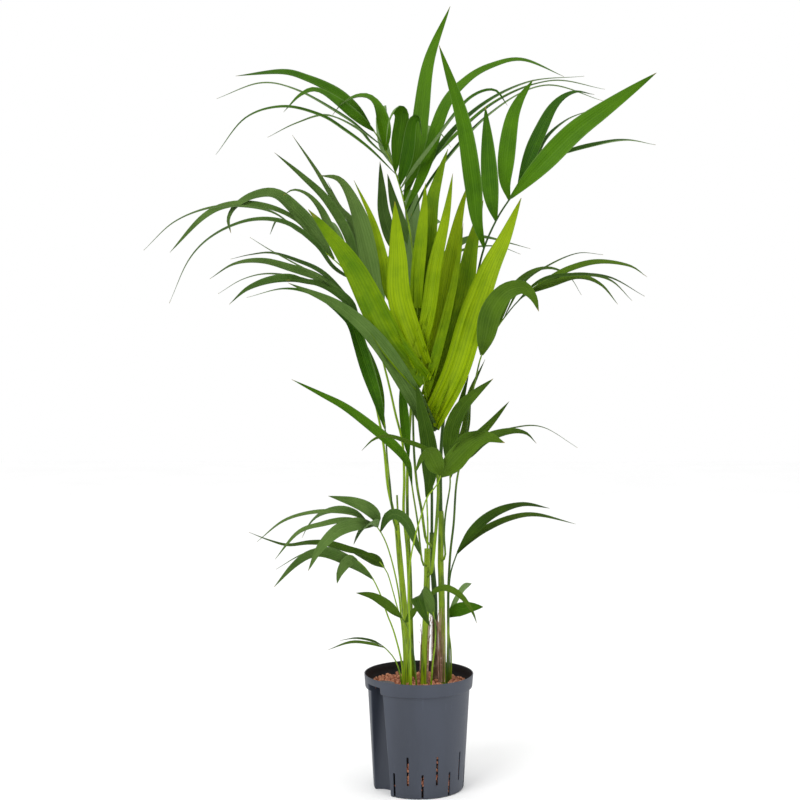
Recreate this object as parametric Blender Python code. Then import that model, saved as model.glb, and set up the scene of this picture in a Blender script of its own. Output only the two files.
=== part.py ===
"""Potted palm: a clump of feather-leaved palm plants in a slotted culture pot.

Metres, +Z up, +X to the right, +Y away from the front. The origin is on the
underside of the pot, at the middle of its round base.

Every leaf is one object: its stalk, its rib and its leaflets are one closed
body. Leaf points are in millimetres for the plant as drawn, and are scaled and
lifted to the sizes below.
"""

import math

import bmesh
import bpy
from mathutils import Matrix, Quaternion, Vector

MM = 0.001
WELD = 0.000002           # corners this close are one corner

# ---------------------------------------------------------------- pot sizes
POT_HEIGHT = 0.190
RIM_RADIUS = 0.090
RIM_BAND = 0.021
RIM_LEAN = 0.0015
RIM_STEP = 0.003
SHOULDER_RADIUS = RIM_RADIUS - 0.006
BASE_RADIUS = RIM_RADIUS - 0.0155
POT_WALL = 0.0016
FLOOR_THICKNESS = 0.0022
FOOT_ROUND = 0.003
POT_SIDES = 80

# Gauge channel: a groove pushed into the wall for a water gauge.
CHANNEL_ANGLE = math.radians(213)
CHANNEL_FLOOR_DISTANCE = RIM_RADIUS * 0.578
CHANNEL_HALF_WIDTH_BOTTOM = RIM_RADIUS * 0.267
CHANNEL_HALF_WIDTH_TOP = RIM_RADIUS * 0.189
CHANNEL_ROOF = POT_HEIGHT - 0.011

# Drain slots: high and low ones by turns, none in the channel.
SLOT_WIDTH = 0.004
SLOT_STEP = math.radians(18)
FIRST_SLOT_ANGLE = math.radians(238)
SLOT_COUNT = 18
HIGH_SLOT = (0.022, 0.0695)
LOW_SLOT = (-0.002, 0.041)

# Clay granules.
GRANULE_TOP = POT_HEIGHT - 0.0165
FIT_GAP = 0.0004
STEM_DEPTH = 0.022

# -------------------------------------------------------------- plant sizes
DRAWN_SOIL = 0.1735       # granule level that the leaf points are drawn for
PLANT_RISE = 1.0          # height above the granules, against the drawn plant
PLANT_SPREAD = 1.0        # sideways reach, against the drawn plant
PLANT_DEPTH = 1.3         # front to back reach, against the drawn plant
LEAFLET_WIDTH = 1.0       # leaflet breadth, against the drawn plant
LEAFLET_THICKNESS = 0.0010
LEAFLET_FOLD = 0.17       # how far the edges lift above the midrib, of the width
LEAFLET_STEP = 0.044      # length of one leaflet segment
STALK_THICKNESS = 1.0     # leaf stalk thickness, against the drawn plant
STALK_SIDES = 6
STALK_STEP = 0.036
SOCKET_SIDES = 8
SHEATH_WALL = 0.0010
SHEATH_GAP = 0.0005


def clear_scene():
    for obj in list(bpy.data.objects):
        bpy.data.objects.remove(obj)


# ---------------------------------------------------------------- materials
def linear(channel):
    if channel <= 0.04045:
        return channel / 12.92
    return ((channel + 0.055) / 1.055) ** 2.4


def colour(hex_code):
    red, green, blue = (int(hex_code[i : i + 2], 16) / 255 for i in (0, 2, 4))
    return (linear(red), linear(green), linear(blue), 1.0)


def material(name, hex_code, roughness):
    made = bpy.data.materials.new(name)
    made.use_nodes = True
    shader = made.node_tree.nodes["Principled BSDF"]
    shader.inputs["Base Color"].default_value = colour(hex_code)
    shader.inputs["Roughness"].default_value = roughness
    shader.inputs["Metallic"].default_value = 0.0
    made.diffuse_color = colour(hex_code)
    return made


# ------------------------------------------------------------ mesh helpers
def object_from(name, bm, mat):
    mesh = bpy.data.meshes.new(name)
    bmesh.ops.recalc_face_normals(bm, faces=bm.faces)
    bm.to_mesh(mesh)
    bm.free()
    mesh.materials.append(mat)
    mesh.shade_smooth()
    mesh.set_sharp_from_angle(angle=math.radians(35))
    obj = bpy.data.objects.new(name, mesh)
    bpy.context.scene.collection.objects.link(obj)
    return obj


def weld(mesh):
    """Merges the doubled points that a Boolean leaves, so the next one cuts cleanly."""
    bm = bmesh.new()
    bm.from_mesh(mesh)
    bmesh.ops.remove_doubles(bm, verts=bm.verts, dist=WELD)
    bm.to_mesh(mesh)
    bm.free()


def boolean(obj, other, operation, overlapping=False):
    """Cuts or joins another object and drops it. Both meshes are closed."""
    modifier = obj.modifiers.new(operation.title(), "BOOLEAN")
    modifier.operation = operation
    modifier.solver = "EXACT"
    modifier.use_self = overlapping
    modifier.object = other
    bpy.context.view_layer.update()
    graph = bpy.context.evaluated_depsgraph_get()
    made = bpy.data.meshes.new_from_object(obj.evaluated_get(graph))
    if not overlapping:
        weld(made)
    old = obj.data
    obj.modifiers.clear()
    obj.data = made
    made.name = obj.name
    bpy.data.meshes.remove(old)
    bpy.data.objects.remove(other)


def ring_faces(bm, lower, upper):
    count = len(lower)
    for i in range(count):
        k = (i + 1) % count
        bm.faces.new((lower[i], lower[k], upper[k], upper[i]))


def blade_faces(bm, lower, upper):
    """Sides of one blade segment, split alike above and below so they never cross."""
    left, under, right, over = range(4)
    for edge in (left, right):
        for middle in (under, over):
            bm.faces.new((lower[edge], lower[middle], upper[middle]))
            bm.faces.new((lower[edge], upper[middle], upper[edge]))


# ------------------------------------------------------------------ curves
def along(points, at):
    """Point on the smooth curve through the points, at a count of points."""
    last = len(points) - 1
    i = min(int(at), last - 1)
    t = at - i
    p1 = points[i]
    p2 = points[i + 1]
    p0 = points[i - 1] if i > 0 else p1 * 2 - p2
    p3 = points[i + 2] if i + 2 <= last else p2 * 2 - p1
    return 0.5 * (
        2 * p1
        + (p2 - p0) * t
        + (2 * p0 - 5 * p1 + 4 * p2 - p3) * t * t
        + (3 * p1 - p0 - 3 * p2 + p3) * t * t * t
    )


def evenly(points, step):
    """Points along the smooth curve, a step or a little less apart."""
    fine = [along(points, (len(points) - 1) * i / 200) for i in range(201)]
    runs = [0.0]
    for a, b in zip(fine, fine[1:]):
        runs.append(runs[-1] + (b - a).length)
    count = max(3, math.ceil(runs[-1] / step))
    out = []
    k = 0
    for i in range(count + 1):
        goal = runs[-1] * i / count
        while k < 199 and runs[k + 1] < goal:
            k += 1
        share = (goal - runs[k]) / max(runs[k + 1] - runs[k], 1e-9)
        out.append(fine[k].lerp(fine[k + 1], min(max(share, 0.0), 1.0)))
    return out


def nearest(points, goal):
    """The point of a line of points that lies nearest to a goal."""
    found = points[0]
    for a, b in zip(points, points[1:]):
        share = (goal - a).dot(b - a) / (b - a).length_squared
        spot = a.lerp(b, min(max(share, 0.0), 1.0))
        if (spot - goal).length < (found - goal).length:
            found = spot
    return found


def tangents(points):
    ahead = points[1:] + [points[-1] * 2 - points[-2]]
    behind = [points[0] * 2 - points[1]] + points[:-1]
    return [(a - b).normalized() for a, b in zip(ahead, behind)]


def placed(point):
    """A drawn leaf point in millimetres, at the plant's real place."""
    x, y, z = point
    height = (z * MM - DRAWN_SOIL) * PLANT_RISE
    return Vector((x * MM * PLANT_SPREAD, y * MM * PLANT_DEPTH, GRANULE_TOP + height))


# ------------------------------------------------------------------- stalks
def tube(points, radii, sides=STALK_SIDES):
    """A closed, tapering tube along the points."""
    bm = bmesh.new()
    direction = tangents(points)
    side = Vector((0, 1, 0))
    rings = []
    for point, ahead, radius in zip(points, direction, radii):
        side = (side - ahead * side.dot(ahead)).normalized()
        up = ahead.cross(side)
        ring = []
        for i in range(sides):
            angle = math.tau * i / sides
            offset = (side * math.cos(angle) + up * math.sin(angle)) * radius
            ring.append(bm.verts.new(point + offset))
        rings.append(ring)
    for lower, upper in zip(rings, rings[1:]):
        ring_faces(bm, lower, upper)
    bm.faces.new(rings[0])
    bm.faces.new(rings[-1])
    return bm


def stalk_radii(count, thick, thin):
    return [
        (thick + (thin - thick) * i / (count - 1)) * MM * STALK_THICKNESS
        for i in range(count)
    ]


# ----------------------------------------------------------------- leaflets
def breadth_at(share):
    """Leaflet breadth along its length, as a share of the full breadth."""
    widest = 0.36
    if share < widest:
        return 0.14 + 0.86 * math.sin(math.pi / 2 * share / widest)
    return math.cos(math.pi / 2 * (share - widest) / (1 - widest)) ** 0.85


def first_normal(ahead, chord, facing):
    """Upper side of a leaflet: 0 looks to the front, 90 up, 180 to the back."""
    front = Vector((0, -1, 0))
    front = (front - ahead * front.dot(ahead)).normalized()
    up = ahead.cross(front)
    if chord.cross(Vector((0, -1, 0))).z < 0:
        up.negate()
    angle = math.radians(facing)
    return front * math.cos(angle) + up * math.sin(angle)


def leaflet(bm, base, rows, breadth, facing, twist):
    """One blade: a shallow V in section, narrow at the base and pointed."""
    points = evenly([base] + [placed(row) for row in rows], LEAFLET_STEP)
    direction = tangents(points)
    chord = points[-1] - base
    turn = 1 if chord.cross(Vector((0, -1, 0))).z >= 0 else -1
    normal = first_normal(direction[0], chord, facing)
    full = breadth * MM * LEAFLET_WIDTH
    last = len(points) - 1
    previous = None
    turned = 0.0
    for i, (point, ahead) in enumerate(zip(points, direction)):
        share = i / last
        if i:
            normal = direction[i - 1].rotation_difference(ahead) @ normal
        goal = math.radians(twist) * share * share * (3 - 2 * share)
        normal = Quaternion(ahead, (goal - turned) * turn) @ normal
        turned = goal
        if i == last:
            tip = bm.verts.new(point)
            for a, b in zip(previous, previous[1:] + previous[:1]):
                bm.faces.new((a, b, tip))
            return
        across = ahead.cross(normal).normalized()
        half = full * breadth_at(share) / 2
        lift = normal * (2 * half * LEAFLET_FOLD)
        thick = normal * (LEAFLET_THICKNESS / 2)
        ring = [
            bm.verts.new(point - across * half + lift),
            bm.verts.new(point - thick),
            bm.verts.new(point + across * half + lift),
            bm.verts.new(point + thick),
        ]
        if previous:
            blade_faces(bm, previous, ring)
        else:
            bm.faces.new((ring[0], ring[1], ring[3]))
            bm.faces.new((ring[2], ring[1], ring[3]))
        previous = ring


def frond(name, route, thick, thin, leaflets, mat):
    """A whole leaf: stalk and rib in one tapering tube, leaflets joined on."""
    points = [placed(point) for point in route]
    steps = evenly(sunk(route), STALK_STEP)
    stalk = tube(steps, stalk_radii(len(steps), thick, thin))
    obj = object_from(name, stalk, mat)
    blades = bmesh.new()
    for at, rows, breadth, facing, twist in leaflets:
        leaflet(blades, nearest(steps, along(points, at)), rows, breadth, facing, twist)
    helper = object_from(name + "_blades", blades, mat)
    boolean(obj, helper, "UNION", overlapping=True)
    return obj


# --------------------------------------------------------------- the leaves
# Each leaf: route of the stalk and rib from the base up, stalk radius at the
# base and at the end, leaflets. Each leaflet: place on the route, counted in
# route points; the points of its midrib; breadth; which way its upper side
# looks at the base; its twist towards the tip.
FRONDS = {
    "frond_upper_right": (
        [(36, 6, 462), (36, 9, 540), (42, 10, 620), (55, 4, 700), (76, -12, 780),
         (92, -28, 840), (103, -42, 886), (121, -52, 928), (141, -60, 960),
         (164, -66, 988), (190, -72, 1013), (213, -76, 1032)],
        3.4, 1.0,
        [(6.0, [(90, -54, 930), (82, -66, 990), (65, -76, 1085), (29, -88, 1195)], 28, 0, 8),
         (7.0, [(112, -66, 962), (107, -72, 1012), (102, -76, 1103)], 27, 0, 6),
         (8.0, [(134, -64, 996), (142, -66, 1072), (154, -68, 1110), (177, -68, 1146)], 27, 4, 10),
         (8.6, [(186, -56, 1054), (214, -50, 1108), (244, -46, 1130), (277, -42, 1128)], 25, 22, 30),
         (8.1, [(190, -78, 1012), (240, -84, 1062), (289, -90, 1098), (363, -98, 1150)], 33, 4, 8),
         (10.5, [(270, -70, 1042), (324, -64, 1052), (371, -60, 1046)], 18, 62, 15),
         (9.5, [(198, -40, 1052), (234, -36, 1088), (278, -32, 1107)], 17, 58, 15)],
    ),
    "frond_top": (
        [(-9, 28, 174), (-12, 28, 260), (-14, 27, 350), (-18, 24, 430), (-19, 22, 500),
         (-17, 22, 560), (-12, 24, 640), (-9, 24, 740), (-8, 22, 860), (-20, 18, 945),
         (-37, 8, 1008), (-56, -2, 1050), (-80, -12, 1086)],
        3.4, 1.0,
        [(9.3, [(-2, 30, 1045), (5, 38, 1110), (18, 42, 1200), (52, 44, 1290)], 28, 12, 10),
         (9.1, [(8, -2, 1010), (42, -12, 1110), (78, -18, 1154), (118, -24, 1176), (166, -30, 1184), (230, -34, 1158)], 25, 18, 50),
         (9.0, [(28, 8, 1040), (95, 16, 1114), (178, 22, 1160), (272, 28, 1172)], 20, 56, 20),
         (9.5, [(40, 40, 1054), (128, 56, 1134), (222, 66, 1172), (314, 74, 1160)], 18, 66, 15),
         (8.8, [(26, 30, 1008), (118, 48, 1112), (210, 56, 1162), (310, 62, 1138)], 18, 70, 15),
         (9.6, [(14, -22, 1040), (50, -34, 1088), (84, -40, 1124), (118, -44, 1134), (139, -46, 1110)], 22, 110, -50),
         (9.7, [(-18, -8, 1040), (-11, -20, 1086), (0, -30, 1093), (4, -36, 1064)], 22, 5, 20),
         (10.1, [(-34, -8, 1060), (-29, -18, 1100), (-39, -32, 1108), (-50, -40, 1084), (-53, -44, 1050)], 25, 4, 20),
         (10.9, [(-58, -16, 1080), (-74, -26, 1118), (-94, -32, 1126), (-120, -38, 1116), (-138, -42, 1096)], 27, 12, 120),
         (12.0, [(-104, -14, 1112), (-140, -18, 1136), (-180, -24, 1154), (-220, -30, 1164), (-292, -38, 1158)], 26, 46, 20),
         (11.0, [(-90, 20, 1078), (-122, 30, 1104), (-202, 46, 1152), (-264, 56, 1166), (-338, 62, 1142)], 16, 74, 6),
         (11.7, [(-112, -36, 1100), (-158, -50, 1130), (-186, -56, 1124), (-214, -60, 1097)], 24, 30, 50),
         (10.0, [(-80, -24, 1044), (-120, -36, 1072), (-158, -44, 1094), (-216, -52, 1106), (-274, -56, 1088), (-321, -58, 1031)], 15, 72, 6),
         (10.5, [(-80, 24, 1062), (-102, 32, 1086), (-152, 42, 1110), (-204, 48, 1098), (-252, 52, 1076)], 14, 76, 6),
         (10.3, [(-62, 40, 1068), (-66, 80, 1120), (-62, 130, 1140), (-54, 180, 1120)], 24, 150, 10),
         (9.9, [(-10, 50, 1040), (10, 96, 1090), (34, 140, 1104), (60, 186, 1080)], 24, 160, 10)],
    ),
    "frond_young_bright": (
        [(21, -13, 362), (25, -16, 402), (29, -18, 450), (31, -20, 500), (27, -24, 545),
         (20, -32, 590), (12, -42, 640), (5, -52, 690), (0, -58, 740), (-4, -62, 790)],
        3.0, 1.4,
        [(5.0, [(-18, -56, 662), (-69, -76, 738), (-128, -90, 792), (-204, -98, 828)], 25, 8, 30),
         (6.6, [(-48, -68, 742), (-102, -76, 848), (-146, -80, 910), (-174, -80, 943)], 36, 0, 5),
         (8.6, [(-46, -56, 806), (-60, -54, 870), (-75, -52, 926), (-104, -50, 992)], 15, 20, 25),
         (7.2, [(-31, -70, 800), (-35, -76, 870), (-37, -80, 915), (-39, -88, 955)], 32, 0, 0),
         (9.0, [(-2, -66, 840), (4, -66, 900), (8, -64, 950), (9, -62, 986)], 19, 15, 10),
         (8.5, [(8, -58, 820), (13, -54, 890), (20, -50, 955), (33, -46, 1005), (45, -44, 1042)], 25, 4, 10),
         (7.7, [(15, -66, 780), (27, -66, 860), (42, -64, 930), (52, -62, 1001)], 21, 15, 20),
         (6.8, [(24, -52, 730), (38, -46, 800), (53, -38, 880), (66, -32, 945), (78, -28, 988)], 25, 4, 10),
         (6.2, [(30, -60, 720), (50, -60, 800), (63, -56, 870), (69, -54, 924)], 15, 24, 20),
         (5.7, [(36, -46, 690), (56, -47, 760), (72, -42, 820), (84, -40, 890), (102, -34, 962)], 31, 0, 8),
         (5.3, [(58, -56, 690), (84, -66, 778), (110, -70, 850), (134, -66, 900), (160, -60, 963)], 36, 2, 4)],
    ),
    "frond_back": (
        [(12, 11, 408), (5, 13, 455), (-3, 16, 500), (-8, 26, 560), (-9, 42, 640),
         (-6, 58, 740), (-2, 64, 810), (-4, 68, 860), (-10, 72, 905)],
        2.6, 1.0,
        [(7.0, [(-40, 72, 900), (-58, 76, 950), (-62, 78, 995), (-65, 80, 1040)], 22, 0, 10),
         (7.6, [(-28, 60, 930), (-42, 58, 970), (-52, 56, 1016)], 19, 0, 12),
         (6.0, [(-16, 56, 850), (-14, 52, 900), (-12, 50, 950)], 10, 170, 5),
         (6.2, [(40, 66, 864), (62, 66, 894), (103, 68, 910), (152, 68, 901), (189, 68, 892)], 19, 20, 60),
         (5.8, [(42, 84, 852), (66, 88, 884), (104, 90, 896), (140, 90, 896), (175, 90, 884)], 16, 60, 20),
         (6.6, [(-20, 110, 900), (-40, 150, 940), (-60, 200, 930)], 26, 150, 10),
         (7.2, [(10, 112, 920), (30, 150, 950), (50, 196, 940)], 26, 160, 10),
         (8.0, [(-10, 110, 960), (-12, 150, 1000), (-20, 200, 990)], 26, 170, 10)],
    ),
    "frond_mid_left": (
        [(-16, 16, 174), (-17, 16, 260), (-16, 16, 320), (-19, 14, 390), (-25, 12, 455),
         (-24, 10, 510), (-27, 10, 570), (-38, 10, 615), (-48, 12, 660), (-58, 14, 700),
         (-68, 16, 742), (-80, 18, 785), (-98, 20, 825), (-124, 22, 856), (-158, 22, 886),
         (-195, 18, 915)],
        3.2, 0.9,
        [(10.2, [(-72, 22, 820), (-86, 26, 890), (-105, 26, 955), (-130, 22, 1000), (-162, 16, 1008)], 38, 0, 40),
         (11.2, [(-106, 42, 918), (-136, 48, 960), (-170, 52, 1018), (-211, 54, 1080)], 17, 36, 10),
         (12.0, [(-116, 14, 905), (-150, 8, 964), (-190, 4, 1004), (-235, 0, 1043)], 19, 32, 10),
         (11.6, [(-112, 62, 920), (-132, 66, 960), (-153, 68, 1004)], 12, 40, 10),
         (12.6, [(-142, -6, 908), (-160, -12, 948), (-180, -16, 972), (-202, -20, 980), (-219, -22, 971)], 19, 14, 50),
         (13.5, [(-174, 34, 916), (-204, 40, 950), (-238, 42, 978), (-272, 38, 976), (-300, 30, 960), (-313, 24, 938), (-309, 18, 914)], 30, 24, 40),
         (14.4, [(-202, 28, 934), (-250, 30, 956), (-310, 28, 960), (-356, 24, 939), (-409, 14, 882)], 19, 62, -30),
         (15.0, [(-240, 4, 946), (-300, -4, 955), (-350, -8, 949), (-400, -10, 927), (-446, -12, 884)], 12, 76, 5),
         (12.3, [(-140, -12, 856), (-168, -18, 892), (-214, -22, 925), (-270, -24, 930), (-328, -24, 908), (-370, -24, 868), (-403, -24, 798)], 17, 46, 25),
         (14.8, [(-216, 34, 930), (-234, 42, 938), (-248, 46, 914)], 13, 50, 20),
         (13.0, [(-130, 70, 890), (-150, 110, 930), (-168, 160, 930), (-180, 206, 900)], 22, 120, 10),
         (12.2, [(-100, 70, 870), (-104, 120, 930), (-108, 170, 940), (-104, 214, 916)], 24, 150, 10)],
    ),
    "frond_lower_left": (
        [(-37, 2, 438), (-43, 2, 462), (-51, 0, 500), (-57, -2, 560), (-66, -4, 612),
         (-78, -6, 665), (-88, -8, 710), (-96, -10, 755), (-104, -12, 790),
         (-120, -14, 814), (-145, -16, 825), (-175, -18, 829)],
        2.8, 0.9,
        [(8.8, [(-160, 4, 848), (-198, 10, 866), (-240, 12, 880), (-276, 12, 878), (-309, 10, 871)], 15, 54, 15),
         (9.3, [(-165, -4, 838), (-210, -6, 853), (-256, -8, 865), (-300, -8, 861), (-340, -8, 838)], 23, 48, 20),
         (10.4, [(-200, 18, 840), (-250, 24, 847), (-292, 26, 838), (-332, 28, 815)], 12, 72, 8),
         (11.0, [(-205, -28, 836), (-240, -34, 832), (-275, -38, 819), (-304, -40, 796)], 21, 44, 30),
         (8.3, [(-160, -36, 838), (-206, -44, 864), (-238, -48, 882), (-269, -50, 902)], 9, 74, 5),
         (7.2, [(-112, -28, 796), (-138, -32, 818), (-168, -34, 830), (-214, -36, 835)], 17, 36, 20)],
    ),
    "frond_low_left": (
        [(-42, -9, 446), (-47, -13, 500), (-52, -18, 550), (-54, -26, 585), (-57, -32, 612)],
        1.9, 1.2,
        [(3.4, [(-68, -40, 645), (-84, -44, 692), (-98, -46, 735), (-107, -46, 760), (-120, -46, 777), (-162, -44, 807), (-216, -42, 820), (-276, -40, 807)], 24, 0, 84),
         (4.0, [(-62, -22, 655), (-74, -18, 702), (-94, -16, 748)], 9, 20, 40)],
    ),
    "frond_long_leaflet": (
        [(5, -16, 378), (-2, -16, 440), (-9, -18, 485), (-14, -22, 520), (-17, -28, 550)],
        2.0, 1.2,
        [(2.5, [(-20, -42, 542), (-40, -52, 569), (-80, -62, 604), (-119, -70, 634), (-157, -76, 655), (-201, -80, 678)], 17, 38, 10),
         (4.0, [(-23, -34, 600), (-27, -36, 650), (-24, -36, 700)], 16, 8, 5)],
    ),
    "frond_low_middle": (
        [(14, -16, 404), (14, -26, 440), (12, -34, 486)],
        1.7, 1.2,
        [(2.0, [(17, -40, 522), (15, -50, 570), (5, -60, 620), (-6, -64, 670)], 27, 0, 5)],
    ),
    "frond_low_right": (
        [(43, -11, 385), (41, -15, 420), (43, -19, 455), (47, -25, 483), (50, -31, 505), (49, -38, 532)],
        1.9, 1.2,
        [(5.0, [(48, -46, 565), (53, -52, 602), (67, -62, 634), (90, -72, 658), (115, -80, 679)], 25, 2, 10),
         (4.4, [(64, -18, 555), (78, -8, 600), (84, -4, 650), (108, -2, 707)], 15, 20, 30),
         (4.8, [(60, -28, 600), (70, -24, 645), (80, -22, 682)], 15, 10, 10)],
    ),
    "frond_right": (
        [(50, 6, 174), (49, 6, 260), (49, 4, 330), (52, 0, 390), (57, -8, 440), (60, -20, 500),
         (66, -30, 540), (74, -40, 585), (79, -48, 630), (87, -56, 668), (98, -64, 716),
         (116, -72, 750), (135, -78, 778), (155, -82, 802), (176, -84, 818)],
        2.5, 0.9,
        [(10.0, [(103, -84, 748), (111, -96, 785), (131, -104, 813), (157, -106, 821), (174, -106, 806), (183, -104, 784)], 34, 0, 20),
         (11.5, [(147, -56, 815), (175, -50, 843), (207, -48, 852), (238, -46, 840), (258, -44, 811)], 17, 42, 25),
         (11.8, [(165, -66, 829), (205, -62, 857), (250, -60, 876), (290, -58, 874)], 10, 70, 5),
         (13.1, [(200, -74, 830), (238, -70, 850), (281, -66, 861), (330, -62, 856), (359, -60, 839)], 17, 62, -15),
         (12.4, [(185, -94, 829), (230, -102, 839), (290, -106, 836), (345, -110, 807)], 12, 72, 8),
         (13.5, [(205, -90, 824), (244, -94, 836), (279, -96, 825), (306, -98, 795)], 17, 52, 15),
         (14.0, [(214, -80, 834), (260, -78, 840), (300, -76, 831), (333, -74, 801)], 15, 60, 10)],
    ),
    "frond_front": (
        [(-13, -48, 177), (-15, -50, 260), (-17, -54, 345), (-14, -57, 390), (-6, -59, 430),
         (2, -61, 458), (12, -64, 490), (26, -68, 508), (33, -72, 524), (36, -76, 546)],
        1.7, 1.0,
        [(8.2, [(24, -86, 546), (14, -96, 565), (1, -104, 560), (-8, -108, 533)], 30, 0, 10),
         (9.0, [(12, -80, 566), (-20, -86, 579), (-50, -90, 589), (-72, -92, 584), (-91, -92, 567)], 13, 58, 10),
         (8.0, [(53, -86, 548), (77, -96, 574), (102, -104, 589), (131, -108, 581)], 34, 8, 30),
         (8.6, [(72, -66, 554), (104, -62, 580), (140, -60, 593), (168, -58, 591), (186, -56, 575)], 21, 36, 20),
         (9.0, [(90, -44, 578), (150, -36, 597), (200, -30, 598), (256, -26, 565)], 9, 74, 6),
         (8.9, [(66, -96, 587), (92, -104, 598), (113, -108, 613)], 11, 56, 10),
         (8.8, [(80, -50, 573), (112, -44, 603), (144, -42, 641)], 17, 24, 10)],
    ),
    "frond_left_small": (
        [(-23, -15, 174), (-25, -15, 240), (-29, -16, 285), (-33, -18, 325), (-40, -21, 362),
         (-49, -26, 397), (-58, -31, 421), (-70, -37, 440), (-86, -43, 449)],
        2.0, 0.9,
        [(6.9, [(-70, -44, 456), (-84, -50, 470), (-106, -56, 480), (-145, -64, 492)], 21, 26, 50),
         (8.0, [(-107, -34, 459), (-135, -28, 462), (-162, -22, 453), (-180, -18, 436), (-191, -14, 416)], 21, 48, 15),
         (7.6, [(-115, -54, 462), (-165, -62, 465), (-214, -68, 453), (-257, -76, 421)], 12, 70, 8),
         (7.3, [(-114, -68, 453), (-152, -82, 449), (-190, -92, 438), (-226, -100, 398)], 14, 66, 10),
         (7.1, [(-100, -74, 448), (-130, -98, 441), (-155, -116, 418), (-172, -128, 386)], 22, 38, 15),
         (6.8, [(-78, -60, 446), (-92, -72, 436), (-104, -82, 418)], 25, 150, 10),
         (6.4, [(-50, -40, 454), (-36, -42, 459), (-20, -43, 446), (-7, -43, 418), (3, -43, 391)], 18, 34, -20)],
    ),
    "frond_left_lowest": (
        [(-27, -27, 174), (-28, -27, 212), (-40, -31, 263), (-52, -35, 296), (-62, -39, 327),
         (-74, -43, 354), (-88, -47, 375), (-104, -51, 390)],
        1.7, 0.9,
        [(5.0, [(-100, -58, 377), (-138, -64, 396), (-168, -68, 400), (-197, -74, 384), (-230, -82, 350)], 19, 42, 20),
         (7.0, [(-150, -42, 403), (-190, -36, 392), (-232, -32, 368)], 11, 72, 8),
         (6.7, [(-116, -66, 388), (-127, -78, 373), (-130, -86, 357)], 19, 16, 20)],
    ),
    "frond_left_narrow": (
        [(-15, -31, 174), (-18, -32, 230), (-27, -34, 277), (-36, -35, 309), (-44, -36, 339),
         (-52, -38, 365), (-64, -40, 382)],
        1.5, 0.9,
        [(6.0, [(-88, -30, 392), (-115, -24, 397), (-150, -18, 405), (-180, -14, 406), (-215, -10, 402), (-245, -8, 410), (-279, -6, 424)], 18, 46, 35),
         (5.4, [(-72, -24, 380), (-90, -14, 386), (-112, -6, 392)], 20, 28, 15)],
    ),
    "frond_single_leaflet": (
        [(-4, -43, 174), (-8, -43, 224), (-15, -44, 262), (-20, -46, 280), (-28, -49, 293)],
        1.5, 1.1,
        [(4.0, [(-42, -54, 306), (-58, -58, 320), (-78, -62, 332), (-101, -68, 338)], 17, 30, 10),
         (3.3, [(-10, -38, 298), (2, -32, 313)], 12, 30, 10)],
    ),
    "frond_bottom_left": (
        [(-27, -44, 175), (-32, -46, 206), (-39, -48, 225), (-49, -51, 239), (-59, -53, 249)],
        1.4, 0.9,
        [(3.6, [(-80, -60, 253), (-110, -66, 257), (-145, -72, 248)], 13, 62, 12),
         (4.0, [(-82, -48, 256), (-105, -44, 258), (-128, -40, 254)], 11, 68, 8)],
    ),
    "frond_right_forked": (
        [(46, -10, 174), (48, -11, 260), (49, -11, 325), (52, -11, 358), (58, -11, 378), (63, -12, 392)],
        1.7, 1.2,
        [(5.0, [(75, -13, 408), (88, -16, 425), (112, -20, 448), (140, -24, 464), (172, -28, 472), (211, -30, 467)], 21, 40, 35),
         (4.7, [(82, -8, 407), (112, -4, 428), (155, -2, 446), (196, 0, 450), (258, 2, 436)], 17, 52, 15)],
    ),
    "frond_bottom_middle": (
        [(19, -38, 174), (22, -38, 215), (26, -40, 252), (26, -42, 280), (22, -44, 302)],
        1.5, 1.1,
        [(3.7, [(13, -48, 318), (2, -56, 332), (0, -68, 328), (8, -74, 306), (17, -76, 286)], 30, 0, 10),
         (4.0, [(20, -40, 324), (30, -42, 336), (46, -46, 339), (67, -50, 327), (84, -54, 305), (92, -56, 286)], 14, 60, 10)],
    ),
    "frond_bottom_right": (
        [(54, 20, 174), (54, 19, 220), (50, 18, 255), (49, 17, 278)],
        1.5, 1.1,
        [(3.0, [(62, 14, 290), (84, 10, 296), (107, 8, 297)], 23, 6, 12),
         (2.7, [(62, 30, 296), (78, 50, 318), (92, 80, 320)], 18, 120, 10)],
    ),
    "frond_behind": (
        [(22, 24, 424), (22, 30, 500), (20, 46, 600), (16, 72, 700), (8, 100, 780), (-4, 128, 840), (-18, 150, 885)],
        2.6, 1.0,
        [(3.0, [(40, 100, 760), (52, 130, 800), (58, 170, 810)], 24, 150, 10),
         (4.0, [(-20, 130, 830), (-36, 170, 856), (-48, 220, 850)], 24, 150, 10),
         (4.6, [(30, 150, 850), (48, 190, 880), (60, 236, 870)], 26, 150, 10),
         (5.3, [(-30, 170, 880), (-44, 210, 896), (-60, 256, 880)], 24, 150, 10),
         (6.0, [(-10, 190, 924), (-8, 230, 940), (-8, 276, 920)], 26, 160, 10)],
    ),
}

# Each stem: name, points of its axis, radius at the foot and at the top.
STEMS = {
    "stem_left": ([(-18, 4, 152), (-20, 4, 250), (-26, 4, 320), (-32, 4, 385), (-36, 3, 434)], 6.2, 4.4),
    "stem_middle": ([(8, -2, 152), (11, -2, 260), (13, -2, 330), (14, -2, 396)], 6.0, 5.0),
    "stem_right": ([(40, 0, 152), (38, 0, 300), (36, 2, 375), (37, 4, 440), (36, 5, 457)], 5.8, 4.6),
    "stem_back": ([(27, 19, 152), (27, 21, 300), (22, 23, 375), (22, 24, 418)], 5.2, 4.0),
}

CUT_STALK = ([(-31, 15, 396), (-34, 15, 440), (-36, 14, 482)], 1.7, 1.6)

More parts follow.
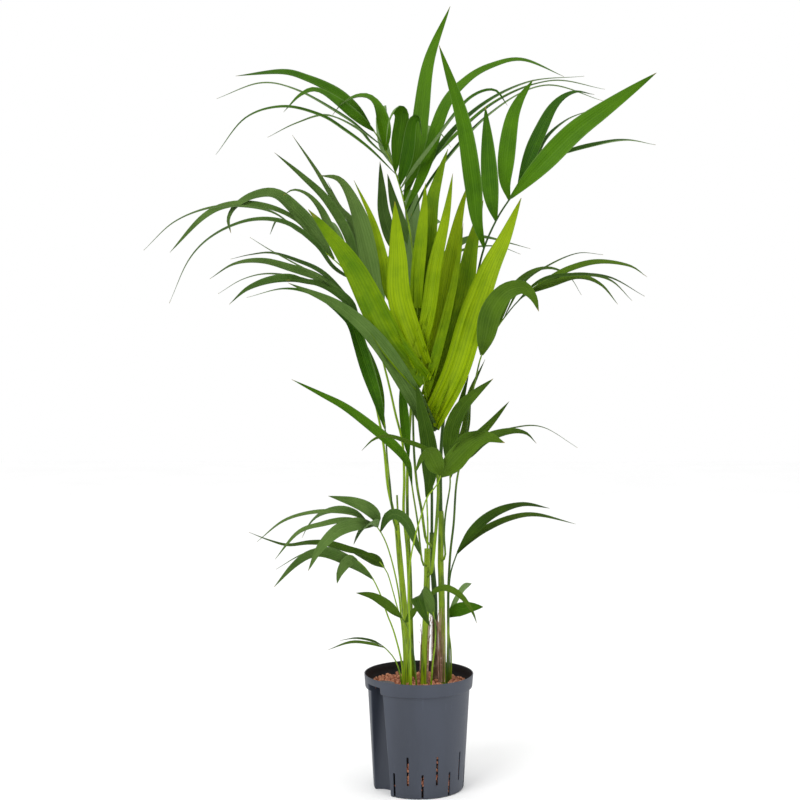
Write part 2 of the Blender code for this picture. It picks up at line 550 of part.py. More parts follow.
# Dry leaf sheaths left on the stems: stem, plan angles of the two edges in
# degrees (270 is the front), height of the foot and of the torn top, in
# millimetres.
SHEATHS = {
    "dry_sheath_middle": ("stem_middle", -62, 205, 178, 290),
    "dry_sheath_right": ("stem_right", 110, 300, 178, 300),
    "dry_sheath_back": ("stem_back", 175, 365, 178, 296),
}
SHEATH_STEPS = 8
SHEATH_ROWS = 5
SHEATH_TEAR = 0.012


# ---------------------------------------------------------------------- pot
def turned(profile, sides=POT_SIDES):
    """A solid turned from (radius, height) points that start and end on the axis."""
    bm = bmesh.new()
    foot = bm.verts.new((0, 0, profile[0][1]))
    head = bm.verts.new((0, 0, profile[-1][1]))
    rings = []
    for radius, height in profile[1:-1]:
        ring = []
        for i in range(sides):
            angle = math.tau * i / sides
            ring.append(bm.verts.new((radius * math.cos(angle), radius * math.sin(angle), height)))
        rings.append(ring)
    for lower, upper in zip(rings, rings[1:]):
        ring_faces(bm, lower, upper)
    for i in range(sides):
        k = (i + 1) % sides
        bm.faces.new((foot, rings[0][k], rings[0][i]))
        bm.faces.new((head, rings[-1][i], rings[-1][k]))
    return bm


def outer_radius(height):
    """Outside radius of the pot at a height: cone, step, then the rim band."""
    band = POT_HEIGHT - RIM_BAND
    corners = [
        (0.0, BASE_RADIUS),
        (band - RIM_STEP, SHOULDER_RADIUS),
        (band, RIM_RADIUS - RIM_LEAN),
        (POT_HEIGHT, RIM_RADIUS),
    ]
    for (low, narrow), (high, wide) in zip(corners, corners[1:]):
        if height <= high:
            return narrow + (wide - narrow) * (height - low) / (high - low)
    return RIM_RADIUS


def pot_outside():
    band = POT_HEIGHT - RIM_BAND
    return turned([
        (0, 0),
        (BASE_RADIUS - FOOT_ROUND, 0),
        (outer_radius(FOOT_ROUND) - FOOT_ROUND * 0.3, FOOT_ROUND * 0.3),
        (outer_radius(FOOT_ROUND), FOOT_ROUND),
        (SHOULDER_RADIUS, band - RIM_STEP),
        (RIM_RADIUS - RIM_LEAN, band),
        (RIM_RADIUS, POT_HEIGHT),
        (0, POT_HEIGHT),
    ])


def pot_inside(gap, top):
    """The hollow of the pot, drawn in by a gap and cut off at a height."""
    wall = POT_WALL + gap
    band = POT_HEIGHT - RIM_BAND
    low = FLOOR_THICKNESS + gap
    heights = [low] + [h for h in (band - RIM_STEP, band) if h < top] + [top]
    sides = [(outer_radius(height) - wall, height) for height in heights]
    return turned([(0, low)] + sides + [(0, top)])


def channel(grow, bottom, top):
    """The gauge channel's U, grown by a wall or a gap, from a height to a height."""
    bm = bmesh.new()
    outward = RIM_RADIUS * 1.3
    turn = Matrix.Rotation(CHANNEL_ANGLE, 3, "Z")
    rings = []
    for height in (bottom, top):
        share = min(max(height / CHANNEL_ROOF, 0.0), 1.0)
        half = CHANNEL_HALF_WIDTH_BOTTOM + (CHANNEL_HALF_WIDTH_TOP - CHANNEL_HALF_WIDTH_BOTTOM) * share
        centre = CHANNEL_FLOOR_DISTANCE + half
        half += grow
        outline = [(outward, -half)]
        for i in range(13):
            angle = -math.pi / 2 - math.pi * i / 12
            outline.append((centre + half * math.cos(angle), half * math.sin(angle)))
        outline.append((outward, half))
        rings.append([bm.verts.new(turn @ Vector((x, y, height))) for x, y in outline])
    ring_faces(bm, rings[0], rings[1])
    bm.faces.new(rings[0])
    bm.faces.new(rings[1])
    return bm


def slot(angle, bottom, top):
    bm = bmesh.new()
    bmesh.ops.create_cube(bm, size=1)
    depth = RIM_RADIUS * 0.34
    size = Matrix.Diagonal((depth, SLOT_WIDTH, top - bottom, 1))
    middle = Matrix.Translation((BASE_RADIUS + depth * 0.2, 0, (top + bottom) / 2))
    bm.transform(Matrix.Rotation(angle, 4, "Z") @ middle @ size)
    return bm


def make_pot(mat):
    pot = object_from("culture_pot", pot_outside(), mat)
    hollow = object_from("pot_hollow", pot_inside(0, POT_HEIGHT + 0.01), mat)
    backing = object_from("channel_wall", channel(POT_WALL, -0.01, CHANNEL_ROOF + POT_WALL), mat)
    boolean(hollow, backing, "DIFFERENCE")
    boolean(pot, hollow, "DIFFERENCE")
    boolean(pot, object_from("channel_cut", channel(0, -0.01, CHANNEL_ROOF), mat), "DIFFERENCE")
    for i in range(SLOT_COUNT):
        bottom, top = HIGH_SLOT if i % 2 else LOW_SLOT
        cutter = slot(FIRST_SLOT_ANGLE + SLOT_STEP * i, bottom, top)
        boolean(pot, object_from("slot", cutter, mat), "DIFFERENCE")


# ----------------------------------------------------------- granules, stems
def sunk(route):
    """The drawn points, with one more below the granules for what is planted."""
    points = [placed(point) for point in route]
    if points[0].z > GRANULE_TOP + 0.004:
        return points
    if points[0].z > GRANULE_TOP - STEM_DEPTH / 2:
        points.insert(0, points[0] - Vector((0, 0, STEM_DEPTH)))
    return points


def planted():
    """Steps of the axis and foot radius of all that stands in the granules."""
    feet = []
    for route, thick, *_ in list(FRONDS.values()) + list(STEMS.values()):
        steps = evenly(sunk(route), STALK_STEP)
        if steps[0].z < GRANULE_TOP:
            feet.append((steps[:3], thick * MM * STALK_THICKNESS))
    return feet


def make_granules(mat):
    granules = object_from("clay_granules", pot_inside(FIT_GAP, GRANULE_TOP), mat)
    backing = channel(POT_WALL + FIT_GAP, -0.01, CHANNEL_ROOF + POT_WALL + FIT_GAP)
    boolean(granules, object_from("channel_room", backing, mat), "DIFFERENCE")
    for steps, radius in planted():
        foot = steps[0] - (steps[1] - steps[0]).normalized() * FIT_GAP
        wide = (radius + FIT_GAP) / math.cos(math.pi / SOCKET_SIDES)
        socket = tube([foot] + steps[1:], [wide] * len(steps), SOCKET_SIDES)
        boolean(granules, object_from("socket", socket, mat), "DIFFERENCE")


def make_stem(name, route, thick, thin, mat):
    steps = evenly(sunk(route), STALK_STEP)
    return object_from(name, tube(steps, stalk_radii(len(steps), thick, thin), 8), mat)


def make_sheath(name, stem, first, last, foot, head, mat):
    """A dry sheath: a thin curved strip round a stem, torn along its top."""
    route, thick, thin = STEMS[stem]
    axis = [placed(point) for point in route]
    inner = thick * MM * STALK_THICKNESS + SHEATH_GAP
    low = placed((0, 0, foot)).z
    high = placed((0, 0, head)).z
    bm = bmesh.new()
    faces = []
    for radius in (inner, inner + SHEATH_WALL):
        grid = []
        for i in range(SHEATH_STEPS + 1):
            angle = math.radians(first + (last - first) * i / SHEATH_STEPS)
            top = high - SHEATH_TEAR * (1 + math.sin(i * 2.3 + foot + first))
            column = []
            for j in range(SHEATH_ROWS + 1):
                height = low + (top - low) * j / SHEATH_ROWS
                centre = axis_at(axis, height)
                outward = Vector((math.cos(angle), math.sin(angle), 0))
                column.append(bm.verts.new(centre + outward * radius))
            grid.append(column)
        faces.append(grid)
    near, far = faces
    for i in range(SHEATH_STEPS):
        for j in range(SHEATH_ROWS):
            bm.faces.new((near[i][j], near[i][j + 1], near[i + 1][j + 1], near[i + 1][j]))
            bm.faces.new((far[i][j], far[i + 1][j], far[i + 1][j + 1], far[i][j + 1]))
        bm.faces.new((near[i][0], near[i + 1][0], far[i + 1][0], far[i][0]))
        bm.faces.new((near[i][-1], far[i][-1], far[i + 1][-1], near[i + 1][-1]))
    for i in (0, SHEATH_STEPS):
        for j in range(SHEATH_ROWS):
            bm.faces.new((near[i][j], far[i][j], far[i][j + 1], near[i][j + 1]))
    return object_from(name, bm, mat)


def axis_at(axis, height):
    """Point of a rising line of points at a height."""
    for a, b in zip(axis, axis[1:]):
        if height <= b.z:
            return a.lerp(b, (height - a.z) / (b.z - a.z))
    return axis[-1].copy()


def main():
    clear_scene()
    plastic = material("slate grey plastic", "565c68", 0.5)
    clay = material("fired clay granules", "b06a4a", 0.9)
    leaf = material("palm leaf", "3f7a10", 0.45)
    bright_leaf = material("young palm leaf", "8cb400", 0.45)
    stem = material("palm stem", "7fa012", 0.45)
    dry = material("dry leaf sheath", "a87a66", 0.85)

    make_pot(plastic)
    make_granules(clay)
    for name, (route, thick, thin) in STEMS.items():
        make_stem(name, route, thick, thin, stem)
    make_stem("cut_stalk", *CUT_STALK, stem)
    for name, (of_stem, first, last, foot, head) in SHEATHS.items():
        make_sheath(name, of_stem, first, last, foot, head, dry)
    for name, (route, thick, thin, leaflets) in FRONDS.items():
        mat = bright_leaf if name == "frond_young_bright" else leaf
        frond(name, route, thick, thin, leaflets, mat)


main()
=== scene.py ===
import math
import random

import bmesh
import bpy
from bpy.props import FloatProperty, FloatVectorProperty, IntProperty, PointerProperty
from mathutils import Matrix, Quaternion, Vector, noise


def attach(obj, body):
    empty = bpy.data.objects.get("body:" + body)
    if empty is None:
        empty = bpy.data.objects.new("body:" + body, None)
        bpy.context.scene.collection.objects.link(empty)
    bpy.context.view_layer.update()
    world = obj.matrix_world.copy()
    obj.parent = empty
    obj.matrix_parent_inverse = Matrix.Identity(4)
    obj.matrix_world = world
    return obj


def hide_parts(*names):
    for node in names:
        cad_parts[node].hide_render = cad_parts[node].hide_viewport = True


bl_info = {
    "name": "Potted Palm",
    "version": (1, 0, 0),
    "blender": (4, 5, 0),
    "location": "3D View > Sidebar > Palm",
    "description": "Builds a young feather palm in its culture pot of clay granules",
    "category": "Object",
}

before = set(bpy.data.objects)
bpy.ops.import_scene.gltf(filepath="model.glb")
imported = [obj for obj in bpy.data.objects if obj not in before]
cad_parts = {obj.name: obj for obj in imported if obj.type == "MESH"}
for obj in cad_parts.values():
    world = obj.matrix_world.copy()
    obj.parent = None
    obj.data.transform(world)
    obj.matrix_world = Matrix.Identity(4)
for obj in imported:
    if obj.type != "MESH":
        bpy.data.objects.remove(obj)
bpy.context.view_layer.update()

# ------------------------------------------------------------------- sizes
MM = 0.001

POT_HEIGHT = 0.190
RIM_RADIUS = 0.090
RIM_BAND = 0.021
RIM_LEAN = 0.0015
RIM_STEP = 0.003
SHOULDER_RADIUS = RIM_RADIUS - 0.006
BASE_RADIUS = RIM_RADIUS - 0.0155
POT_WALL = 0.0016
FLOOR_THICKNESS = 0.0022
FOOT_ROUND = 0.003

CHANNEL_ANGLE = math.radians(213)
CHANNEL_FLOOR_DISTANCE = RIM_RADIUS * 0.578
CHANNEL_HALF_WIDTH_BOTTOM = RIM_RADIUS * 0.267
CHANNEL_HALF_WIDTH_TOP = RIM_RADIUS * 0.189
CHANNEL_ROOF = POT_HEIGHT - 0.011

SLOT_WIDTH = 0.0036
SLOT_STEP = math.radians(18)
FIRST_SLOT_ANGLE = math.radians(238)
SLOT_COUNT = 18
HIGH_SLOT = (0.022, 0.0695)
LOW_SLOT = (-0.002, 0.041)

GRANULE_TOP = POT_HEIGHT - 0.0165
BED_SHOULDER = GRANULE_TOP - 0.0075
BED_TOP = GRANULE_TOP - 0.004
BED_GAP = POT_WALL + 0.0008
BED_GAP_BY_SLOTS = POT_WALL + 0.0045
SLOT_ZONE = 0.1
INNER_LIP = 0.0006
PLANT_DEPTH = 1.3
SOCKET_DEPTH = 0.008


def linear(channel):
    if channel <= 0.04045:
        return channel / 12.92
    return ((channel + 0.055) / 1.055) ** 2.4


def colour(hex_code):
    """Linear colour of an sRGB hex value."""
    red, green, blue = (int(hex_code[i : i + 2], 16) / 255 for i in (0, 2, 4))
    return (linear(red), linear(green), linear(blue), 1.0)


# ---------------------------------------------------------------- settings
class PotSettings(bpy.types.PropertyGroup):
    """Sizes and colours of the culture pot."""

    wall: FloatProperty(
        name="Wall", description="Thickness of the moulded wall",
        default=POT_WALL, min=0.001, max=0.003, subtype="DISTANCE", unit="LENGTH",
    )
    lip_round: FloatProperty(
        name="Channel Lip", description="Rounding where the wall turns into the gauge channel",
        default=0.0022, min=0.0005, max=0.004, subtype="DISTANCE", unit="LENGTH",
    )
    colour: FloatVectorProperty(
        name="Plastic", description="Slate grey of the moulded plastic",
        default=colour("383d48")[:3], size=3, min=0, max=1, subtype="COLOR",
    )


class GranuleSettings(bpy.types.PropertyGroup):
    """The fired clay granules."""

    size: FloatProperty(
        name="Granule Size", description="Mean diameter of one granule",
        default=0.0068, min=0.004, max=0.012, subtype="DISTANCE", unit="LENGTH",
    )
    seed: IntProperty(
        name="Seed", description="Seed of the scatter", default=7, min=0,
    )


class LeafSettings(bpy.types.PropertyGroup):
    """Fineness and form of the leaves."""

    breadth: FloatProperty(
        name="Leaflet Breadth", description="Breadth of every leaflet, against its drawn size",
        default=1.0, min=0.7, max=1.3, subtype="FACTOR",
    )
    thickness: FloatProperty(
        name="Leaflet Thickness", description="Thickness of a leaflet at its midrib",
        default=0.0006, min=0.0002, max=0.002, subtype="DISTANCE", unit="LENGTH",
    )
    step: FloatProperty(
        name="Leaflet Step", description="Length of one mesh row along a leaflet",
        default=0.0075, min=0.003, max=0.03, subtype="DISTANCE", unit="LENGTH",
    )
    stalk_girth: FloatProperty(
        name="Stalk Girth", description="Thickness of every stalk, against its drawn size",
        default=1.0, min=0.7, max=1.2, subtype="FACTOR",
    )


class StageSettings(bpy.types.PropertyGroup):
    """Floor and light."""

    floor_size: FloatProperty(
        name="Floor Size", description="Side of the square floor",
        default=12.0, min=2, max=40, subtype="DISTANCE", unit="LENGTH",
    )
    key_power: FloatProperty(
        name="Key Light", description="Power of the large soft light", default=48.0, min=0, unit="POWER",
    )


# --------------------------------------------------------------- materials
def add_node(tree, kind, settings=None, **sockets):
    """Adds a node, sets it, and links or sets its inputs (i0, i1 by place, or by name)."""
    node = tree.nodes.new(kind)
    for key, value in (settings or {}).items():
        setattr(node, key, value)
    for key, value in sockets.items():
        place = int(key[1:]) if key[1:].isdigit() and key[0] == "i" else key.replace("_", " ")
        socket = node.inputs[place]
        if isinstance(value, bpy.types.NodeSocket):
            tree.links.new(value, socket)
        else:
            socket.default_value = value
    return node


def new_material(name):
    made = bpy.data.materials.new(name)
    made.use_nodes = True
    tree = made.node_tree
    shader = tree.nodes["Principled BSDF"]
    return made, tree, shader


def maths(tree, operation, first, second=0.0, third=0.0):
    node = add_node(tree, "ShaderNodeMath", {"operation": operation}, i0=first, i1=second, i2=third)
    return node.outputs[0]


def blended(tree, share, first, second, blend="MIX"):
    """A colour between two colours, by a share."""
    node = tree.nodes.new("ShaderNodeMix")
    node.data_type = "RGBA"
    node.blend_type = blend
    for socket, value in ((node.inputs[0], share), (node.inputs[6], first), (node.inputs[7], second)):
        if isinstance(value, bpy.types.NodeSocket):
            tree.links.new(value, socket)
        else:
            socket.default_value = value
    return node.outputs[2]


def ramp(tree, value, low, high):
    """Share from 0 to 1 as a value goes from low to high, eased."""
    node = add_node(
        tree, "ShaderNodeMapRange", {"interpolation_type": "SMOOTHSTEP"},
        i0=value, i1=low, i2=high, i3=0.0, i4=1.0,
    )
    return node.outputs[0]


def surface_noise(tree, scale, detail=2.0, stretch=(1, 1, 1)):
    """Noise in object space; scale is in patches a metre."""
    spot = add_node(tree, "ShaderNodeTexCoord").outputs["Object"]
    mapping = add_node(tree, "ShaderNodeMapping", Vector=spot, Scale=stretch)
    return add_node(
        tree, "ShaderNodeTexNoise", Vector=mapping.outputs[0], Scale=scale, Detail=detail,
    ).outputs["Fac"]


def attribute(tree, name):
    node = add_node(tree, "ShaderNodeAttribute", {"attribute_name": name, "attribute_type": "GEOMETRY"})
    return node.outputs["Fac"]


def bumped(tree, shader, height, distance, strength=1.0):
    bump = add_node(tree, "ShaderNodeBump", Height=height, Distance=distance, Strength=strength)
    tree.links.new(bump.outputs[0], shader.inputs["Normal"])


def leaflet_material(name, upper, upper_light, under, nerve, roughness):
    """Living palm leaflet: leathery, with fine nerves along it and a paler, duller underside."""
    made, tree, shader = new_material(name)
    across = attribute(tree, "across")
    span = attribute(tree, "span")
    upside = attribute(tree, "upside")
    tone = attribute(tree, "tone")
    dryness = attribute(tree, "dryness")
    # Broad patches about 30 mm across vary the green, and each leaflet has its own tone.
    patches = surface_noise(tree, 33, 3)
    shade = maths(tree, "MULTIPLY_ADD", patches, 0.9, -0.45)
    shade = ramp(tree, maths(tree, "ADD", shade, tone), 0.0, 1.0)
    over = blended(tree, shade, colour(upper), colour(upper_light))
    beneath = blended(tree, shade, colour(under), colour(upper_light))
    beneath = blended(tree, 0.72, beneath, colour(under))
    base = blended(tree, upside, beneath, over)
    # Main nerves: seven to a side, about 2 mm apart, each a fine raised line.
    wave = maths(tree, "SINE", maths(tree, "MULTIPLY", across, math.tau * 4))
    lines = ramp(tree, wave, 0.55, 1.0)
    fine = maths(tree, "SINE", maths(tree, "MULTIPLY", across, math.tau * 13))
    base = blended(tree, maths(tree, "MULTIPLY", lines, 0.30), base, colour(nerve))
    grain = maths(tree, "MULTIPLY_ADD", fine, 0.08, 0.08)
    base = blended(tree, grain, base, colour(nerve))
    # The midrib shows pale on both sides.
    rib = maths(tree, "SUBTRACT", 1.0, ramp(tree, maths(tree, "ABSOLUTE", across), 0.02, 0.09))
    base = blended(tree, maths(tree, "MULTIPLY", rib, 0.18), base, colour(nerve))
    # Tips dry out from the end back, straw first and then brown.
    ragged = maths(tree, "MULTIPLY_ADD", surface_noise(tree, 140, 2), 0.10, -0.05)
    reach = maths(tree, "SUBTRACT", maths(tree, "ADD", span, ragged), maths(tree, "SUBTRACT", 1.0, dryness))
    straw = ramp(tree, reach, -0.03, 0.01)
    brown = ramp(tree, reach, 0.01, 0.05)
    base = blended(tree, straw, base, colour("948638"))
    base = blended(tree, brown, base, colour("6c4a28"))
    tree.links.new(base, shader.inputs["Base Color"])
    rough = maths(tree, "MULTIPLY_ADD", upside, -0.12, roughness + 0.12)
    rough = maths(tree, "MULTIPLY_ADD", patches, 0.10, maths(tree, "SUBTRACT", rough, 0.05))
    tree.links.new(rough, shader.inputs["Roughness"])
    height = maths(tree, "ADD", maths(tree, "MULTIPLY", wave, 0.6), maths(tree, "MULTIPLY", fine, 0.3))
    bumped(tree, shader, height, 0.00025)
    shader.inputs["Specular IOR Level"].default_value = 0.1
    return made


def stalk_material(name, green, light, base_tint):
    """Living stalk: smooth waxy skin with faint fibres along it, darker and browner at the foot."""
    made, tree, shader = new_material(name)
    streaks = surface_noise(tree, 420, 3, (1, 1, 0.05))
    patches = surface_noise(tree, 22, 3)
    tone = attribute(tree, "tone")
    foot = attribute(tree, "span")
    own_tone = maths(tree, "MULTIPLY_ADD", tone, 1.1, -0.55)
    shade = ramp(tree, maths(tree, "ADD", patches, own_tone), 0.25, 0.75)
    base = blended(tree, shade, colour(green), colour(light))
    base = blended(tree, ramp(tree, streaks, 0.52, 0.75), base, colour(green))
    low = maths(tree, "SUBTRACT", 1.0, ramp(tree, foot, 0.0, 0.06))
    base = blended(tree, maths(tree, "MULTIPLY", low, 0.55), base, colour(base_tint))
    # Small brown flecks, about 1 mm.
    flecks = ramp(tree, surface_noise(tree, 800, 1, (1, 1, 0.4)), 0.72, 0.80)
    base = blended(tree, maths(tree, "MULTIPLY", flecks, 0.4), base, colour("4c4016"))
    tree.links.new(base, shader.inputs["Base Color"])
    shader.inputs["Roughness"].default_value = 0.42
    shader.inputs["Specular IOR Level"].default_value = 0.3
    bumped(tree, shader, streaks, 0.0004)
    return made


def dry_sheath_material():
    """Dead leaf sheath: papery pinkish brown, split into fibres about half a millimetre apart."""
    made, tree, shader = new_material("dry palm sheath")
    fibres = surface_noise(tree, 900, 4, (1, 1, 0.035))
    patches = surface_noise(tree, 60, 4)
    shade = ramp(tree, patches, 0.35, 0.65)
    base = blended(tree, shade, colour("946c5a"), colour("c49e8a"))
    base = blended(tree, ramp(tree, fibres, 0.45, 0.7), base, colour("6a4636"))
    base = blended(tree, ramp(tree, surface_noise(tree, 150, 2), 0.62, 0.72), base, colour("dcc0aa"))
    tree.links.new(base, shader.inputs["Base Color"])
    shader.inputs["Roughness"].default_value = 0.85
    bumped(tree, shader, fibres, 0.0008)
    return made


def pot_material(tint):
    """Polypropylene, injection moulded with a fine matt grain: soft grey-blue, dull highlights, and painted
    shade inside.
    """
    made, tree, shader = new_material("matt moulded polypropylene")
    dark = tuple(c * 0.86 for c in tint) + (1.0,)
    light = tuple(min(c * 1.12, 1.0) for c in tint) + (1.0,)
    # Slow flow marks up the wall, and fine pale scuffs.
    flow = surface_noise(tree, 14, 3, (1, 1, 0.25))
    base = blended(tree, ramp(tree, flow, 0.35, 0.65), dark, light)
    scuffs = ramp(tree, surface_noise(tree, 260, 2, (1, 1, 0.06)), 0.66, 0.80)
    base = blended(tree, maths(tree, "MULTIPLY", scuffs, 0.22), base, colour("5c6470"))
    # Painted shade: the inside of the pot, its shelf and the inner half of the rim are painted near black.
    painted_inside_shade = attribute(tree, "painted_inside_shade")
    base = blended(tree, painted_inside_shade, base, colour("0c0d11"))
    tree.links.new(base, shader.inputs["Base Color"])
    # Grain about 0.6 mm, coarser than the real one so that it shows.
    grain = surface_noise(tree, 1600, 2)
    rough = maths(tree, "MULTIPLY_ADD", flow, 0.16, 0.40)
    tree.links.new(rough, shader.inputs["Roughness"])
    bumped(tree, shader, grain, 0.00012)
    shader.inputs["Specular IOR Level"].default_value = 0.35
    return made


def clay_material():
    """Expanded clay, fired to a rough porous terracotta skin with a little pale dust, and painted shade on
    the bed behind the slots.
    """
    made, tree, shader = new_material("fired expanded clay")
    tone = attribute(tree, "grain_tone_and_painted_shade")
    base = blended(tree, tone, colour("9c5a42"), colour("c48868"))
    # Painted shade: the bed side behind the drain slots carries a tone below nought, which paints it near
    # black.
    base = blended(tree, ramp(tree, tone, -1.0, 0.0), colour("140a07"), base)
    pores = surface_noise(tree, 700, 4)
    base = blended(tree, ramp(tree, pores, 0.55, 0.75), base, colour("6c3624"))
    dust = ramp(tree, surface_noise(tree, 180, 3), 0.58, 0.75)
    base = blended(tree, maths(tree, "MULTIPLY", dust, 0.35), base, colour("d8a890"))
    tree.links.new(base, shader.inputs["Base Color"])
    shader.inputs["Roughness"].default_value = 0.92
    bumped(tree, shader, pores, 0.0007)
    return made


def floor_material():
    """Matt white studio floor with a barely seen unevenness."""
    made, tree, shader = new_material("matt white studio floor")
    cloud = surface_noise(tree, 3, 2)
    base = blended(tree, cloud, colour("fafafa"), colour("ffffff"))
    tree.links.new(base, shader.inputs["Base Color"])
    shader.inputs["Roughness"].default_value = 0.9
    shader.inputs["Specular IOR Level"].default_value = 0.1
    return made


def make_materials():
    """One set of finishes for the whole plant, by name."""
    pot = bpy.context.scene.palm_pot
    return {
        "deep": leaflet_material("mature palm leaflet", "1c4600", "446e00", "748e56", "568012", 0.42),
        "green": leaflet_material("lower palm leaflet", "1f3d00", "4a680e", "4e6a2c", "587420", 0.44),
        # The "grey" finish is a paler grey-green copy for the fronds that arch over: painted sheen of the
        # light from above.
        "grey": leaflet_material("grey-green palm leaflet with painted sheen", "2c4c0c", "587434", "5c7842", "6a8446", 0.46),
        "young": leaflet_material("young palm leaflet", "4e7200", "8ca606", "76940e", "2e5000", 0.46),
        "stalk": stalk_material("waxy palm stalk", "264600", "7a9a02", "4a5414"),
        "stem": stalk_material("smooth palm stem", "264400", "7c9804", "4c4418"),
        "sheath": dry_sheath_material(),
        "pot": pot_material(tuple(pot.colour)),
        "clay": clay_material(),
    }


def finish(name):
    """A finish made once and shared by all pieces."""
    if not FINISHES:
        FINISHES.update(make_materials())
    return FINISHES[name]


FINISHES = {}


# ------------------------------------------------------------- mesh helpers
def object_from(name, mesh, nodes, sharp=35):
    """Makes the finished piece of a mesh: it rides on the plant and stands for its nodes."""
    mesh.shade_smooth()
    mesh.set_sharp_from_angle(angle=math.radians(sharp))
    piece = bpy.data.objects.new(name, mesh)
    bpy.context.scene.collection.objects.link(piece)
    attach(piece, "root")
    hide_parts(*nodes)
    return piece


def ring_faces(bm, lower, upper, finish_index=0):
    count = len(lower)
    for i in range(count):
        k = (i + 1) % count
        face = bm.faces.new((lower[i], lower[k], upper[k], upper[i]))
        face.material_index = finish_index


def along(points, at):
    """Point on the smooth curve through the points, at a count of points."""
    last = len(points) - 1
    i = min(int(at), last - 1)
    t = at - i
    p1 = points[i]
    p2 = points[i + 1]
    p0 = points[i - 1] if i > 0 else p1 * 2 - p2
    p3 = points[i + 2] if i + 2 <= last else p2 * 2 - p1
    return 0.5 * (
        2 * p1
        + (p2 - p0) * t
        + (2 * p0 - 5 * p1 + 4 * p2 - p3) * t * t
        + (3 * p1 - p0 - 3 * p2 + p3) * t * t * t
    )


def evenly(points, step):
    """Points along the smooth curve, a step or a little less apart."""
    fine = [along(points, (len(points) - 1) * i / 240) for i in range(241)]
    runs = [0.0]
    for a, b in zip(fine, fine[1:]):
        runs.append(runs[-1] + (b - a).length)
    count = max(6, math.ceil(runs[-1] / step))
    out = []
    k = 0
    for i in range(count + 1):
        goal = runs[-1] * i / count
        while k < 239 and runs[k + 1] < goal:
            k += 1
        share = (goal - runs[k]) / max(runs[k + 1] - runs[k], 1e-9)
        out.append(fine[k].lerp(fine[k + 1], min(max(share, 0.0), 1.0)))
    return out


def tangents(points):
    ahead = points[1:] + [points[-1] * 2 - points[-2]]
    behind = [points[0] * 2 - points[1]] + points[:-1]
    return [(a - b).normalized() for a, b in zip(ahead, behind)]


def placed(point):
    """A drawn plant point in millimetres, at its real place."""
    x, y, z = point
    return Vector((x * MM, y * MM * PLANT_DEPTH, z * MM))


class Skin:
    """A mesh in the making, with the values that its finishes read at each point."""

    VALUES = ("across", "span", "upside", "tone", "dryness")

    def __init__(self):
        self.bm = bmesh.new()
        self.layers = [self.bm.verts.layers.float.new(name) for name in self.VALUES]

    def point(self, spot, *values):
        made = self.bm.verts.new(spot)
        for layer, value in zip(self.layers, values):
            made[layer] = value
        return made

    def mesh(self, name, *finishes):
        mesh = bpy.data.meshes.new(name)
        self.bm.to_mesh(mesh)
        self.bm.free()
        for each in finishes:
            mesh.materials.append(finish(each))
        return mesh


# ------------------------------------------------------------------ stalks
def add_tube(skin, points, radii, sides, tone, finish_index, flat=1.0, furrow=0.0):
    """A closed tapering tube with a furrow along its upper side."""
    side = Vector((1, 0, 0))
    rings = []
    last = len(points) - 1
    for i, (point, ahead, radius) in enumerate(zip(points, tangents(points), radii)):
        side = (side - ahead * side.dot(ahead)).normalized()
        up = ahead.cross(side)
        ring = []
        for k in range(sides):
            angle = math.tau * k / sides
            reach = radius * (1 - furrow * max(0.0, math.cos(angle - math.pi / 2)) ** 6)
            offset = (side * math.cos(angle) + up * math.sin(angle) * flat) * reach
            ring.append(skin.point(point + offset, math.cos(angle), i / last, 1.0, tone, 0.0))
        rings.append(ring)
    for lower, upper in zip(rings, rings[1:]):
        ring_faces(skin.bm, lower, upper, finish_index)
    for ring in (list(reversed(rings[0])), rings[-1]):
        face = skin.bm.faces.new(ring)
        face.material_index = finish_index


def tapering(count, thick, thin):
    girth = bpy.context.scene.palm_leaf.stalk_girth
    return [(thick + (thin - thick) * i / (count - 1)) * MM * girth for i in range(count)]


# ---------------------------------------------------------------- leaflets
def breadth_at(share, foot):
    """Leaflet breadth along its length, as a share of the full breadth."""
    widest = 0.36
    if share < widest:
        return foot + (1 - foot) * math.sin(math.pi / 2 * share / widest)
    return max(math.cos(math.pi / 2 * (share - widest) / (1 - widest)), 0.0) ** 0.85


def first_normal(ahead, chord, facing):
    """Upper side of a leaflet: 0 looks to the front, 90 up, 180 to the back."""
    front = Vector((0, -1, 0))
    front = (front - ahead * front.dot(ahead)).normalized()
    up = ahead.cross(front)
    if chord.cross(Vector((0, -1, 0))).z < 0:
        up.negate()
    angle = math.radians(facing)
    return front * math.cos(angle) + up * math.sin(angle)


LEAFLET_FOLD = 0.17
BLADE_COLUMNS = 12


